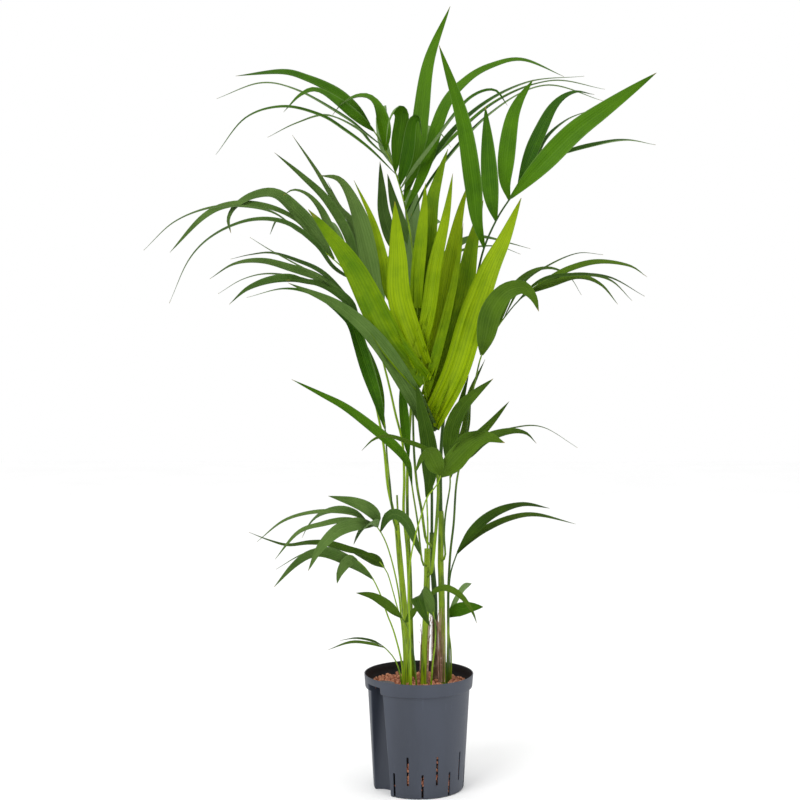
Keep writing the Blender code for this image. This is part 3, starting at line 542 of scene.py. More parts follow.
def add_leaflet(skin, base, rows, breadth, facing, twist, pleat, foot, finish_index, dice):
    """One blade: pleated along its nerves, a shallow V in section, pointed."""
    leaf = bpy.context.scene.palm_leaf
    points = evenly([base] + [placed(row) for row in rows], leaf.step)
    direction = tangents(points)
    chord = points[-1] - base
    turn = 1 if chord.cross(Vector((0, -1, 0))).z >= 0 else -1
    normal = first_normal(direction[0], chord, facing)
    full = breadth * MM * leaf.breadth
    last = len(points) - 1
    tone = dice.uniform(0.1, 0.9)
    dryness = dice.choice((0.0, 0.0, 0.0, 0.0, 0.012))
    phase = dice.uniform(0, 100)
    turned = 0.0
    rings = []
    for i, (point, ahead) in enumerate(zip(points, direction)):
        share = i / last
        if i:
            normal = direction[i - 1].rotation_difference(ahead) @ normal
        goal = math.radians(twist) * share * share * (3 - 2 * share)
        normal = Quaternion(ahead, (goal - turned) * turn) @ normal
        turned = goal
        across = ahead.cross(normal).normalized()
        half = full * max(breadth_at(share, foot), 0.02) / 2
        fold = LEAFLET_FOLD * (1.15 - 0.35 * share)
        ring = []
        for k in range(2 * BLADE_COLUMNS):
            upper = k >= BLADE_COLUMNS
            place = (2 * BLADE_COLUMNS - k if upper else k) / BLADE_COLUMNS
            u = place * 2 - 1
            edge = abs(u)
            lift = 2 * half * fold * edge**1.2
            lift += pleat * half * math.cos(u * math.tau * 2) * edge * (1 - share)
            ripple = noise.noise(Vector((phase, share * 5 + edge, u * 0.8)))
            lift += ripple * half * 0.10 * edge * min(1.0, share * 4)
            thick = leaf.thickness * (1 - 0.7 * edge) * (0.5 if upper else -0.5)
            if k in (0, BLADE_COLUMNS):
                thick = 0.0
            spot = point + across * (u * half) + normal * (lift + thick)
            upside = 0.5 if k in (0, BLADE_COLUMNS) else float(upper)
            ring.append(skin.point(spot, u, share, upside, tone, dryness))
        rings.append(ring)
    for lower, upper in zip(rings, rings[1:]):
        ring_faces(skin.bm, lower, upper, finish_index)
    for ring in (list(reversed(rings[0])), rings[-1]):
        face = skin.bm.faces.new(ring)
        face.material_index = finish_index


def clasped(foot):
    """Two points that lead a stalk down into the stem that it grows out of."""
    found = None
    for route, thick, thin in STEMS.values():
        axis = [placed(point) for point in route]
        head = axis[-1]
        low = axis_at(axis, min(foot.z, head.z) - 0.055)
        high = axis_at(axis, min(foot.z, head.z) - 0.015)
        gap = (foot - high).length
        if found is None or gap < found[0]:
            found = (gap, low, high)
    return [found[1], found[2]]


def make_frond(name, route, thick, thin, leaflets, look):
    """A whole leaf: stalk and rib in one tapering tube, with its leaflets."""
    dice = random.Random(name)
    skin = Skin()
    points = [placed(point) for point in route]
    first = points[0]
    if first.z < GRANULE_TOP + 0.004:
        points.insert(0, first - Vector((0, 0, SOCKET_DEPTH)))
        shift = 1
    else:
        points[:0] = clasped(first)
        shift = 2
    steps = evenly(points, 0.012)
    add_tube(skin, steps, tapering(len(steps), thick, thin), 12, dice.uniform(0.2, 0.8), 1, 0.9, 0.25)
    pleat, foot, swell = (0.30, 0.8, 1.18) if look == "young" else (0.08, 0.14, 1.0)
    odd = ODD_LEAFLETS.get(name, {})
    finishes = [look, "stalk", *odd.values()]
    for i, (at, rows, breadth, facing, twist) in enumerate(leaflets):
        base = along(points, at + shift)
        index = finishes.index(odd.get(i, look))
        add_leaflet(skin, base, rows, breadth * swell, facing, twist, pleat, foot, index, dice)
    bmesh.ops.recalc_face_normals(skin.bm, faces=skin.bm.faces)
    return object_from(name + "_leaf", skin.mesh(name, *finishes), [name], 60)


# --------------------------------------------------------------- the leaves
# Each leaf: route of the stalk and rib from the base up, stalk radius at the
# base and at the end, leaflets. Each leaflet: place on the route, counted in
# route points; the points of its midrib; breadth; which way its upper side
# looks at the base; its twist towards the tip. All are in millimetres.
FRONDS = {
    "frond_upper_right": (
        [(36, 6, 462), (36, 9, 540), (42, 10, 620), (55, 4, 700), (76, -12, 780),
         (92, -28, 840), (103, -42, 886), (121, -52, 928), (141, -60, 960),
         (164, -66, 988), (190, -72, 1013), (213, -76, 1032)],
        3.4, 1.0,
        [(6.0, [(90, -54, 930), (82, -66, 990), (65, -76, 1085), (29, -88, 1195)], 28, 0, 8),
         (7.0, [(112, -66, 962), (107, -72, 1012), (102, -76, 1103)], 27, 0, 6),
         (8.0, [(134, -64, 996), (142, -66, 1072), (154, -68, 1110), (177, -68, 1146)], 27, 4, 10),
         (8.6, [(186, -56, 1054), (214, -50, 1108), (244, -46, 1130), (277, -42, 1128)], 25, 22, 30),
         (8.1, [(190, -78, 1012), (240, -84, 1062), (289, -90, 1098), (363, -98, 1150)], 33, 4, 8),
         (10.5, [(270, -70, 1042), (324, -64, 1052), (371, -60, 1046)], 18, 62, 15),
         (9.5, [(198, -40, 1052), (234, -36, 1088), (278, -32, 1107)], 17, 58, 15)],
    ),
    "frond_top": (
        [(-9, 28, 174), (-12, 28, 260), (-14, 27, 350), (-18, 24, 430), (-19, 22, 500),
         (-17, 22, 560), (-12, 24, 640), (-9, 24, 740), (-8, 22, 860), (-20, 18, 945),
         (-37, 8, 1008), (-56, -2, 1050), (-80, -12, 1086)],
        3.4, 1.0,
        [(9.3, [(-2, 30, 1045), (5, 38, 1110), (18, 42, 1200), (52, 44, 1290)], 28, 12, 10),
         (9.1, [(8, -2, 1010), (42, -12, 1110), (78, -18, 1154), (118, -24, 1176), (166, -30, 1184),
               (230, -34, 1158)], 25, 18, 50),
         (9.0, [(28, 8, 1040), (95, 16, 1114), (178, 22, 1160), (272, 28, 1172)], 20, 56, 20),
         (9.5, [(40, 40, 1054), (128, 56, 1134), (222, 66, 1172), (314, 74, 1160)], 18, 66, 15),
         (8.8, [(26, 30, 1008), (118, 48, 1112), (210, 56, 1162), (310, 62, 1138)], 18, 70, 15),
         (9.6, [(14, -22, 1040), (50, -34, 1088), (84, -40, 1124), (118, -44, 1134),
               (139, -46, 1110)], 22, 110, -50),
         (9.7, [(-18, -8, 1040), (-11, -20, 1086), (0, -30, 1093), (4, -36, 1064)], 22, 5, 20),
         (10.1, [(-34, -8, 1060), (-29, -18, 1100), (-39, -32, 1108), (-50, -40, 1084),
               (-53, -44, 1050)], 25, 4, 20),
         (10.9, [(-58, -16, 1080), (-74, -26, 1118), (-94, -32, 1126), (-120, -38, 1116),
               (-138, -42, 1096)], 27, 12, 120),
         (12.0, [(-104, -14, 1112), (-140, -18, 1136), (-180, -24, 1154), (-220, -30, 1164),
               (-292, -38, 1158)], 26, 46, 20),
         (11.0, [(-90, 20, 1078), (-122, 30, 1104), (-202, 46, 1152), (-264, 56, 1166),
               (-338, 62, 1142)], 16, 74, 6),
         (11.7, [(-112, -36, 1100), (-158, -50, 1130), (-186, -56, 1124),
               (-214, -60, 1097)], 24, 30, 50),
         (10.0, [(-80, -24, 1044), (-120, -36, 1072), (-158, -44, 1094), (-216, -52, 1106),
               (-274, -56, 1088), (-321, -58, 1031)], 15, 72, 6),
         (10.5, [(-80, 24, 1062), (-102, 32, 1086), (-152, 42, 1110), (-204, 48, 1098),
               (-252, 52, 1076)], 14, 76, 6),
         (10.3, [(-62, 40, 1068), (-66, 80, 1120), (-62, 130, 1140), (-54, 180, 1120)], 24, 150, 10),
         (9.9, [(-10, 50, 1040), (10, 96, 1090), (34, 140, 1104), (60, 186, 1080)], 24, 160, 10)],
    ),
    "frond_young_bright": (
        [(21, -13, 362), (25, -16, 402), (29, -18, 450), (31, -20, 500), (27, -24, 545),
         (20, -32, 590), (12, -42, 640), (5, -52, 690), (0, -58, 740), (-4, -62, 790)],
        3.0, 1.4,
        [(5.0, [(-18, -56, 662), (-69, -76, 738), (-128, -90, 792), (-204, -98, 828)], 25, 8, 30),
         (6.6, [(-48, -68, 742), (-102, -76, 848), (-146, -80, 910), (-174, -80, 943)], 36, 0, 5),
         (8.6, [(-46, -56, 806), (-60, -54, 870), (-75, -52, 926), (-104, -50, 992)], 15, 20, 25),
         (7.2, [(-31, -70, 800), (-35, -76, 870), (-37, -80, 915), (-39, -88, 955)], 32, 0, 0),
         (9.0, [(-2, -66, 840), (4, -66, 900), (8, -64, 950), (9, -62, 986)], 19, 15, 10),
         (8.5, [(8, -58, 820), (13, -54, 890), (20, -50, 955), (33, -46, 1005),
               (45, -44, 1042)], 25, 4, 10),
         (7.7, [(15, -66, 780), (27, -66, 860), (42, -64, 930), (52, -62, 1001)], 21, 15, 20),
         (6.8, [(24, -52, 730), (38, -46, 800), (53, -38, 880), (66, -32, 945),
               (78, -28, 988)], 25, 4, 10),
         (6.2, [(30, -60, 720), (50, -60, 800), (63, -56, 870), (69, -54, 924)], 15, 24, 20),
         (5.7, [(36, -46, 690), (56, -47, 760), (72, -42, 820), (84, -40, 890),
               (102, -34, 962)], 31, 0, 8),
         (5.3, [(58, -56, 690), (84, -66, 778), (110, -70, 850), (134, -66, 900),
               (160, -60, 963)], 36, 2, 4)],
    ),
    "frond_back": (
        [(12, 11, 408), (5, 13, 455), (-3, 16, 500), (-8, 26, 560), (-9, 42, 640),
         (-6, 58, 740), (-2, 64, 810), (-4, 68, 860), (-10, 72, 905)],
        2.6, 1.0,
        [(7.0, [(-40, 72, 900), (-58, 76, 950), (-62, 78, 995), (-65, 80, 1040)], 22, 0, 10),
         (7.6, [(-28, 60, 930), (-42, 58, 970), (-52, 56, 1016)], 19, 0, 12),
         (6.0, [(-16, 56, 850), (-14, 52, 900), (-12, 50, 950)], 10, 170, 5),
         (6.2, [(40, 66, 864), (62, 66, 894), (103, 68, 910), (152, 68, 901),
               (189, 68, 892)], 19, 20, 60),
         (5.8, [(42, 84, 852), (66, 88, 884), (104, 90, 896), (140, 90, 896),
               (175, 90, 884)], 16, 60, 20),
         (6.6, [(-20, 110, 900), (-40, 150, 940), (-60, 200, 930)], 26, 150, 10),
         (7.2, [(10, 112, 920), (30, 150, 950), (50, 196, 940)], 26, 160, 10),
         (8.0, [(-10, 110, 960), (-12, 150, 1000), (-20, 200, 990)], 26, 170, 10)],
    ),
    "frond_mid_left": (
        [(-16, 16, 174), (-17, 16, 260), (-16, 16, 320), (-19, 14, 390), (-25, 12, 455),
         (-24, 10, 510), (-27, 10, 570), (-38, 10, 615), (-48, 12, 660), (-58, 14, 700),
         (-68, 16, 742), (-80, 18, 785), (-98, 20, 825), (-124, 22, 856), (-158, 22, 886),
         (-195, 18, 915)],
        3.2, 0.9,
        [(10.2, [(-72, 22, 820), (-86, 26, 890), (-105, 26, 955), (-130, 22, 1000),
              (-162, 16, 1008)], 38, 0, 40),
         (11.2, [(-106, 42, 918), (-136, 48, 960), (-170, 52, 1018), (-211, 54, 1080)], 17, 36, 10),
         (12.0, [(-116, 14, 905), (-150, 8, 964), (-190, 4, 1004), (-235, 0, 1043)], 19, 32, 10),
         (11.6, [(-112, 62, 920), (-132, 66, 960), (-153, 68, 1004)], 12, 40, 10),
         (12.6, [(-142, -6, 908), (-160, -12, 948), (-180, -16, 972), (-202, -20, 980),
               (-219, -22, 971)], 19, 14, 50),
         (13.5, [(-174, 34, 916), (-204, 40, 950), (-238, 42, 978), (-272, 38, 976), (-300, 30, 960),
               (-313, 24, 938), (-309, 18, 914)], 30, 24, 40),
         (14.4, [(-202, 28, 934), (-250, 30, 956), (-310, 28, 960), (-356, 24, 939),
               (-409, 14, 882)], 19, 62, -30),
         (15.0, [(-240, 4, 946), (-300, -4, 955), (-350, -8, 949), (-400, -10, 927),
               (-446, -12, 884)], 12, 76, 5),
         (12.3, [(-140, -12, 856), (-168, -18, 892), (-214, -22, 925), (-270, -24, 930),
               (-328, -24, 908), (-370, -24, 868), (-403, -24, 798)], 17, 46, 25),
         (14.8, [(-216, 34, 930), (-234, 42, 938), (-248, 46, 914)], 13, 50, 20),
         (13.0, [(-130, 70, 890), (-150, 110, 930), (-168, 160, 930), (-180, 206, 900)], 22, 120, 10),
         (12.2, [(-100, 70, 870), (-104, 120, 930), (-108, 170, 940), (-104, 214, 916)], 24, 150, 10)],
    ),
    "frond_lower_left": (
        [(-37, 2, 438), (-43, 2, 462), (-51, 0, 500), (-57, -2, 560), (-66, -4, 612),
         (-78, -6, 665), (-88, -8, 710), (-96, -10, 755), (-104, -12, 790),
         (-120, -14, 814), (-145, -16, 825), (-175, -18, 829)],
        2.8, 0.9,
        [(8.8, [(-160, 4, 848), (-198, 10, 866), (-240, 12, 880), (-276, 12, 878),
              (-309, 10, 871)], 15, 54, 15),
         (9.3, [(-165, -4, 838), (-210, -6, 853), (-256, -8, 865), (-300, -8, 861),
               (-340, -8, 838)], 23, 48, 20),
         (10.4, [(-200, 18, 840), (-250, 24, 847), (-292, 26, 838), (-332, 28, 815)], 12, 72, 8),
         (11.0, [(-205, -28, 836), (-240, -34, 832), (-275, -38, 819), (-304, -40, 796)], 21, 44, 30),
         (8.3, [(-160, -36, 838), (-206, -44, 864), (-238, -48, 882), (-269, -50, 902)], 9, 74, 5),
         (7.2, [(-112, -28, 796), (-138, -32, 818), (-168, -34, 830), (-214, -36, 835)], 17, 36, 20)],
    ),
    "frond_low_left": (
        [(-42, -9, 446), (-47, -13, 500), (-52, -18, 550), (-54, -26, 585), (-57, -32, 612)],
        1.9, 1.2,
        [(3.4, [(-68, -40, 645), (-84, -44, 692), (-98, -46, 735), (-107, -46, 760), (-120, -46, 777),
              (-162, -44, 807), (-216, -42, 820), (-276, -40, 807)], 24, 0, 84),
         (4.0, [(-62, -22, 655), (-74, -18, 702), (-94, -16, 748)], 9, 20, 40)],
    ),
    "frond_long_leaflet": (
        [(5, -16, 378), (-2, -16, 440), (-9, -18, 485), (-14, -22, 520), (-17, -28, 550)],
        2.0, 1.2,
        [(2.5, [(-20, -42, 542), (-40, -52, 569), (-80, -62, 604), (-119, -70, 634), (-157, -76, 655),
              (-201, -80, 678)], 17, 38, 10),
         (4.0, [(-23, -34, 600), (-27, -36, 650), (-24, -36, 700)], 16, 8, 5)],
    ),
    "frond_low_middle": (
        [(14, -16, 404), (14, -26, 440), (12, -34, 486)],
        1.7, 1.2,
        [(2.0, [(17, -40, 522), (15, -50, 570), (5, -60, 620), (-6, -64, 670)], 27, 0, 5)],
    ),
    "frond_low_right": (
        [(43, -11, 385), (41, -15, 420), (43, -19, 455), (47, -25, 483), (50, -31, 505), (49, -38, 532)],
        1.9, 1.2,
        [(5.0, [(48, -46, 565), (53, -52, 602), (67, -62, 634), (90, -72, 658),
              (115, -80, 679)], 25, 2, 10),
         (4.4, [(64, -18, 555), (78, -8, 600), (84, -4, 650), (108, -2, 707)], 15, 20, 30),
         (4.8, [(60, -28, 600), (70, -24, 645), (80, -22, 682)], 15, 10, 10)],
    ),
    "frond_right": (
        [(50, 6, 174), (49, 6, 260), (49, 4, 330), (52, 0, 390), (57, -8, 440), (60, -20, 500),
         (66, -30, 540), (74, -40, 585), (79, -48, 630), (87, -56, 668), (98, -64, 716),
         (116, -72, 750), (135, -78, 778), (155, -82, 802), (176, -84, 818)],
        2.5, 0.9,
        [(10.0, [(103, -84, 748), (111, -96, 785), (131, -104, 813), (157, -106, 821),
              (174, -106, 806), (183, -104, 784)], 34, 0, 20),
         (11.5, [(147, -56, 815), (175, -50, 843), (207, -48, 852), (238, -46, 840),
               (258, -44, 811)], 17, 42, 25),
         (11.8, [(165, -66, 829), (205, -62, 857), (250, -60, 876), (290, -58, 874)], 10, 70, 5),
         (13.1, [(200, -74, 830), (238, -70, 850), (281, -66, 861), (330, -62, 856),
               (359, -60, 839)], 17, 62, -15),
         (12.4, [(185, -94, 829), (230, -102, 839), (290, -106, 836), (345, -110, 807)], 12, 72, 8),
         (13.5, [(205, -90, 824), (244, -94, 836), (279, -96, 825), (306, -98, 795)], 17, 52, 15),
         (14.0, [(214, -80, 834), (260, -78, 840), (300, -76, 831), (333, -74, 801)], 15, 60, 10)],
    ),
    "frond_front": (
        [(-13, -48, 177), (-15, -50, 260), (-17, -54, 345), (-14, -57, 390), (-6, -59, 430),
         (2, -61, 458), (12, -64, 490), (26, -68, 508), (33, -72, 524), (36, -76, 546)],
        1.7, 1.0,
        [(8.2, [(24, -86, 546), (14, -96, 565), (1, -104, 560), (-8, -108, 533)], 30, 0, 10),
         (9.0, [(12, -80, 566), (-20, -86, 579), (-50, -90, 589), (-72, -92, 584),
               (-91, -92, 567)], 13, 58, 10),
         (8.0, [(53, -86, 548), (77, -96, 574), (102, -104, 589), (131, -108, 581)], 34, 8, 30),
         (8.6, [(72, -66, 554), (104, -62, 580), (140, -60, 593), (168, -58, 591),
               (186, -56, 575)], 21, 36, 20),
         (9.0, [(90, -44, 578), (150, -36, 597), (200, -30, 598), (256, -26, 565)], 9, 74, 6),
         (8.9, [(66, -96, 587), (92, -104, 598), (113, -108, 613)], 11, 56, 10),
         (8.8, [(80, -50, 573), (112, -44, 603), (144, -42, 641)], 17, 24, 10)],
    ),
    "frond_left_small": (
        [(-23, -15, 174), (-25, -15, 240), (-29, -16, 285), (-33, -18, 325), (-40, -21, 362),
         (-49, -26, 397), (-58, -31, 421), (-70, -37, 440), (-86, -43, 449)],
        2.0, 0.9,
        [(6.9, [(-70, -44, 456), (-84, -50, 470), (-106, -56, 480), (-145, -64, 492)], 21, 26, 50),
         (8.0, [(-107, -34, 459), (-135, -28, 462), (-162, -22, 453), (-180, -18, 436),
               (-191, -14, 416)], 21, 48, 15),
         (7.6, [(-115, -54, 462), (-165, -62, 465), (-214, -68, 453), (-257, -76, 421)], 12, 70, 8),
         (7.3, [(-114, -68, 453), (-152, -82, 449), (-190, -92, 438), (-226, -100, 398)], 14, 66, 10),
         (7.1, [(-100, -74, 448), (-130, -98, 441), (-155, -116, 418), (-172, -128, 386)], 22, 38, 15),
         (6.8, [(-78, -60, 446), (-92, -72, 436), (-104, -82, 418)], 25, 150, 10),
         (6.4, [(-50, -40, 454), (-36, -42, 459), (-20, -43, 446), (-7, -43, 418),
               (3, -43, 391)], 18, 34, -20)],
    ),
    "frond_left_lowest": (
        [(-27, -27, 174), (-28, -27, 212), (-40, -31, 263), (-52, -35, 296), (-62, -39, 327),
         (-74, -43, 354), (-88, -47, 375), (-104, -51, 390)],
        1.7, 0.9,
        [(5.0, [(-100, -58, 377), (-138, -64, 396), (-168, -68, 400), (-197, -74, 384),
              (-230, -82, 350)], 19, 42, 20),
         (7.0, [(-150, -42, 403), (-190, -36, 392), (-232, -32, 368)], 11, 72, 8),
         (6.7, [(-116, -66, 388), (-127, -78, 373), (-130, -86, 357)], 19, 16, 20)],
    ),
    "frond_left_narrow": (
        [(-15, -31, 174), (-18, -32, 230), (-27, -34, 277), (-36, -35, 309), (-44, -36, 339),
         (-52, -38, 365), (-64, -40, 382)],
        1.5, 0.9,
        [(6.0, [(-88, -30, 392), (-115, -24, 397), (-150, -18, 405), (-180, -14, 406),
              (-215, -10, 402), (-245, -8, 410), (-279, -6, 424)], 18, 46, 35),
         (5.4, [(-72, -24, 380), (-90, -14, 386), (-112, -6, 392)], 20, 28, 15)],
    ),
    "frond_single_leaflet": (
        [(-4, -43, 174), (-8, -43, 224), (-15, -44, 262), (-20, -46, 280), (-28, -49, 293)],
        1.5, 1.1,
        [(4.0, [(-42, -54, 306), (-58, -58, 320), (-78, -62, 332), (-101, -68, 338)], 17, 30, 10),
         (3.3, [(-10, -38, 298), (2, -32, 313)], 12, 30, 10)],
    ),
    "frond_bottom_left": (
        [(-27, -44, 175), (-32, -46, 206), (-39, -48, 225), (-49, -51, 239), (-59, -53, 249)],
        1.4, 0.9,
        [(3.6, [(-80, -60, 253), (-110, -66, 257), (-145, -72, 248)], 13, 80, 12),
         (4.0, [(-82, -48, 256), (-105, -44, 258), (-128, -40, 254)], 11, 80, 8)],
    ),
    "frond_right_forked": (
        [(46, -10, 174), (48, -11, 260), (49, -11, 325), (52, -11, 358), (58, -11, 378), (63, -12, 392)],
        1.7, 1.2,
        [(5.0, [(75, -13, 408), (88, -16, 425), (112, -20, 448), (140, -24, 464), (172, -28, 472),
              (211, -30, 467)], 21, 40, 35),
         (4.7, [(82, -8, 407), (112, -4, 428), (155, -2, 446), (196, 0, 450),
               (258, 2, 436)], 17, 52, 15)],
    ),
    "frond_bottom_middle": (
        [(19, -38, 174), (22, -38, 215), (26, -40, 252), (26, -42, 280), (22, -44, 302)],
        1.5, 1.1,
        [(3.7, [(13, -48, 318), (2, -56, 332), (0, -68, 328), (8, -74, 306),
              (17, -76, 286)], 30, 180, 10),
         (4.0, [(20, -40, 324), (30, -42, 336), (46, -46, 339), (67, -50, 327), (84, -54, 305),
               (92, -56, 286)], 14, 60, 10)],
    ),
    "frond_bottom_right": (
        [(54, 20, 174), (54, 19, 220), (50, 18, 255), (49, 17, 278)],
        1.5, 1.1,
        [(3.0, [(62, 14, 290), (84, 10, 296), (107, 8, 297)], 23, 6, 12),
         (2.7, [(62, 30, 296), (78, 50, 318), (92, 80, 320)], 18, 120, 10)],
    ),
    "frond_behind": (
        [(22, 24, 424), (22, 30, 500), (20, 46, 600), (16, 72, 700), (8, 100, 780), (-4, 128, 840),
              (-18, 150, 885)],
        2.6, 1.0,
        [(3.0, [(40, 100, 760), (52, 130, 800), (58, 170, 810)], 24, 150, 10),
         (4.0, [(-20, 130, 830), (-36, 170, 856), (-48, 220, 850)], 24, 150, 10),
         (4.6, [(30, 150, 850), (48, 190, 880), (60, 236, 870)], 26, 150, 10),
         (5.3, [(-30, 170, 880), (-44, 210, 896), (-60, 256, 880)], 24, 150, 10),
         (6.0, [(-10, 190, 924), (-8, 230, 940), (-8, 276, 920)], 26, 160, 10)],
    ),
}

# Each stem: name, points of its axis, radius at the foot and at the top.
STEMS = {
    "stem_left": ([(-18, 4, 152), (-20, 4, 250), (-26, 4, 320), (-32, 4, 385), (-36, 3, 434)], 6.2, 4.4),
    "stem_middle": ([(8, -2, 152), (11, -2, 260), (13, -2, 330), (14, -2, 396)], 6.0, 5.0),
    "stem_right": ([(40, 0, 152), (38, 0, 300), (36, 2, 375), (37, 4, 440), (36, 5, 457)], 5.8, 4.6),
    "stem_back": ([(27, 19, 152), (27, 21, 300), (22, 23, 375), (22, 24, 418)], 5.2, 4.0),
}

CUT_STALK = ([(-31, 15, 396), (-34, 15, 440), (-36, 14, 482)], 1.7, 1.6)

SHEATH_STRIPS = 10

# Dry leaf sheaths left on the stems: stem, plan angles of the two edges in
# degrees (270 is the front), height of the foot and of the torn top, in
# millimetres.
SHEATHS = {
    "dry_sheath_middle": ("stem_middle", -62, 205, 178, 290),
    "dry_sheath_right": ("stem_right", 110, 300, 178, 300),
    "dry_sheath_back": ("stem_back", 175, 365, 178, 296),
}


# The finish of each frond; the others are "green". The "grey" fronds arch over and carry painted sheen.
LOOKS = {
    "young": ("frond_young_bright",),
    "deep": ("frond_upper_right", "frond_top", "frond_long_leaflet", "frond_low_left", "frond_bottom_right"),
    "grey": ("frond_mid_left", "frond_lower_left", "frond_back", "frond_left_small", "frond_left_lowest"),
}


# Leaflets that differ from the rest of their frond, by their place in its list; the first leaflet of the
# young frond takes the grey finish with its painted sheen.
ODD_LEAFLETS = {"frond_young_bright": {0: "grey"}}


def look_of(name):
    """Which leaf finish a frond has."""
    for look, names in LOOKS.items():
        if name in names:
            return look
    return "green"


# ------------------------------------------------------------------- stems
def make_stem(name, route, thick, thin):
    """A stem of clasping leaf bases, with their edges as faint steps."""
    dice = random.Random(name)
    skin = Skin()
    steps = evenly([placed(point) for point in route], 0.006)
    radii = tapering(len(steps), thick, thin)
    for i in range(len(radii)):
        radii[i] *= 1 + 0.03 * math.sin(i * 0.9) * math.sin(i * 0.23)
    add_tube(skin, steps, radii, 20, dice.uniform(0.2, 0.8), 0, 1.0, 0.10)
    bmesh.ops.recalc_face_normals(skin.bm, faces=skin.bm.faces)
    return object_from(name + "_skin", skin.mesh(name, "stem"), [name], 50)


def axis_at(axis, height):
    """Point of a rising line of points at a height."""
    for a, b in zip(axis, axis[1:]):
        if height <= b.z:
            return a.lerp(b, (height - a.z) / (b.z - a.z))
    return axis[-1].copy()


def add_slab(bm, near, far):
    """Closes a thin slab between two matching grids of points."""
    columns = len(near) - 1
    rows = len(near[0]) - 1
    for i in range(columns):
        for j in range(rows):
            bm.faces.new((near[i][j], near[i][j + 1], near[i + 1][j + 1], near[i + 1][j]))
            bm.faces.new((far[i][j], far[i + 1][j], far[i + 1][j + 1], far[i][j + 1]))
        bm.faces.new((near[i][0], near[i + 1][0], far[i + 1][0], far[i][0]))
        bm.faces.new((near[i][-1], far[i][-1], far[i + 1][-1], near[i + 1][-1]))
    for i in (0, columns):
        for j in range(rows):
            bm.faces.new((near[i][j], far[i][j], far[i][j + 1], near[i][j + 1]))


def make_sheath(name, stem, first, last, foot, head):
    """A dry sheath: torn strips that cling to a stem and curl away at their tops."""
    dice = random.Random(name)
    route, thick = STEMS[stem][:2]
    axis = [placed(point) for point in route]
    low = foot * MM - 0.003
    skin = Skin()
    pitch = (last - first) / SHEATH_STRIPS
    for i in range(SHEATH_STRIPS):
        start = first + pitch * (i + dice.uniform(0.0, 0.3))
        breadth = pitch * dice.uniform(0.3, 0.65)
        top = head * MM - 0.075 * dice.random() ** 2
        hook = dice.uniform(0.002, 0.0065)
        lift = 0.0006 + 0.0005 * (i % 2)
        sway = dice.uniform(-9, 9)
        grids = []
        for wall in (0.0, 0.0005):
            grid = []
            for k in range(5):
                column = []
                for j in range(37):
                    rise = j / 36
                    narrow = 1 - 0.75 * rise**3
                    angle = math.radians(start + breadth * (0.5 + (k / 4 - 0.5) * narrow) + sway * rise)
                    crease = 0.0004 * noise.noise(Vector((k * 0.9, rise * 5, start)))
                    curl = hook * max(0.0, rise - 0.86) ** 1.5 * 18
                    reach = thick * MM + lift + wall + crease + curl
                    spot = axis_at(axis, low + (top - low) * rise)
                    spot += Vector((math.cos(angle), math.sin(angle), 0)) * reach
                    column.append(skin.point(spot, k / 4, rise, 1.0, 0.5, 0.0))
                grid.append(column)
            grids.append(grid)
        add_slab(skin.bm, *grids)
    bmesh.ops.recalc_face_normals(skin.bm, faces=skin.bm.faces)
    return object_from(name + "_fibres", skin.mesh(name, "sheath"), [name], 60)


# --------------------------------------------------------------------- pot
ARC_POINTS = 168
LIP_POINTS = 6
SIDE_POINTS = 18


def outer_radius(height):
    """Outside radius of the pot at a height: cone, step, then the rim band."""
    band = POT_HEIGHT - RIM_BAND
    corners = [
        (0.0, BASE_RADIUS),
        (band - RIM_STEP, SHOULDER_RADIUS),
        (band, RIM_RADIUS - RIM_LEAN),
        (POT_HEIGHT, RIM_RADIUS),
    ]
    for (low, narrow), (high, wide) in zip(corners, corners[1:]):
        if height <= high:
            return narrow + (wide - narrow) * (height - low) / (high - low)
    return RIM_RADIUS


def channel_size(height):
    """Half width of the gauge channel and the distance of its bend from the axis."""
    share = min(max(height / CHANNEL_ROOF, 0.0), 1.0)
    half = CHANNEL_HALF_WIDTH_BOTTOM + (CHANNEL_HALF_WIDTH_TOP - CHANNEL_HALF_WIDTH_BOTTOM) * share
    return half, CHANNEL_FLOOR_DISTANCE + half


def lip_curve(start, corner, end):
    """Points of a rounded corner, without its two ends."""
    out = []
    for i in range(1, LIP_POINTS + 1):
        t = i / (LIP_POINTS + 1)
        out.append(start * (1 - t) ** 2 + corner * 2 * t * (1 - t) + end * t * t)
    return out


def channel_side(radius, height, grow):
    """One side of the gauge channel: its point at a run from the deepest spot, and its run to the mouth."""
    half, bend = channel_size(height)
    half += grow
    quarter = half * math.pi / 2
    straight = math.sqrt(radius**2 - half**2) - bend
    if straight > 0:
        run = quarter + straight
    else:
        cosine = (radius**2 - bend**2 - half**2) / (2 * bend * half)
        run = half * (math.pi - math.acos(cosine))

    def spot(distance):
        if distance > quarter:
            return Vector((bend + distance - quarter, half))
        angle = math.pi - distance / half
        return Vector((bend + half * math.cos(angle), half * math.sin(angle)))

    return spot, run


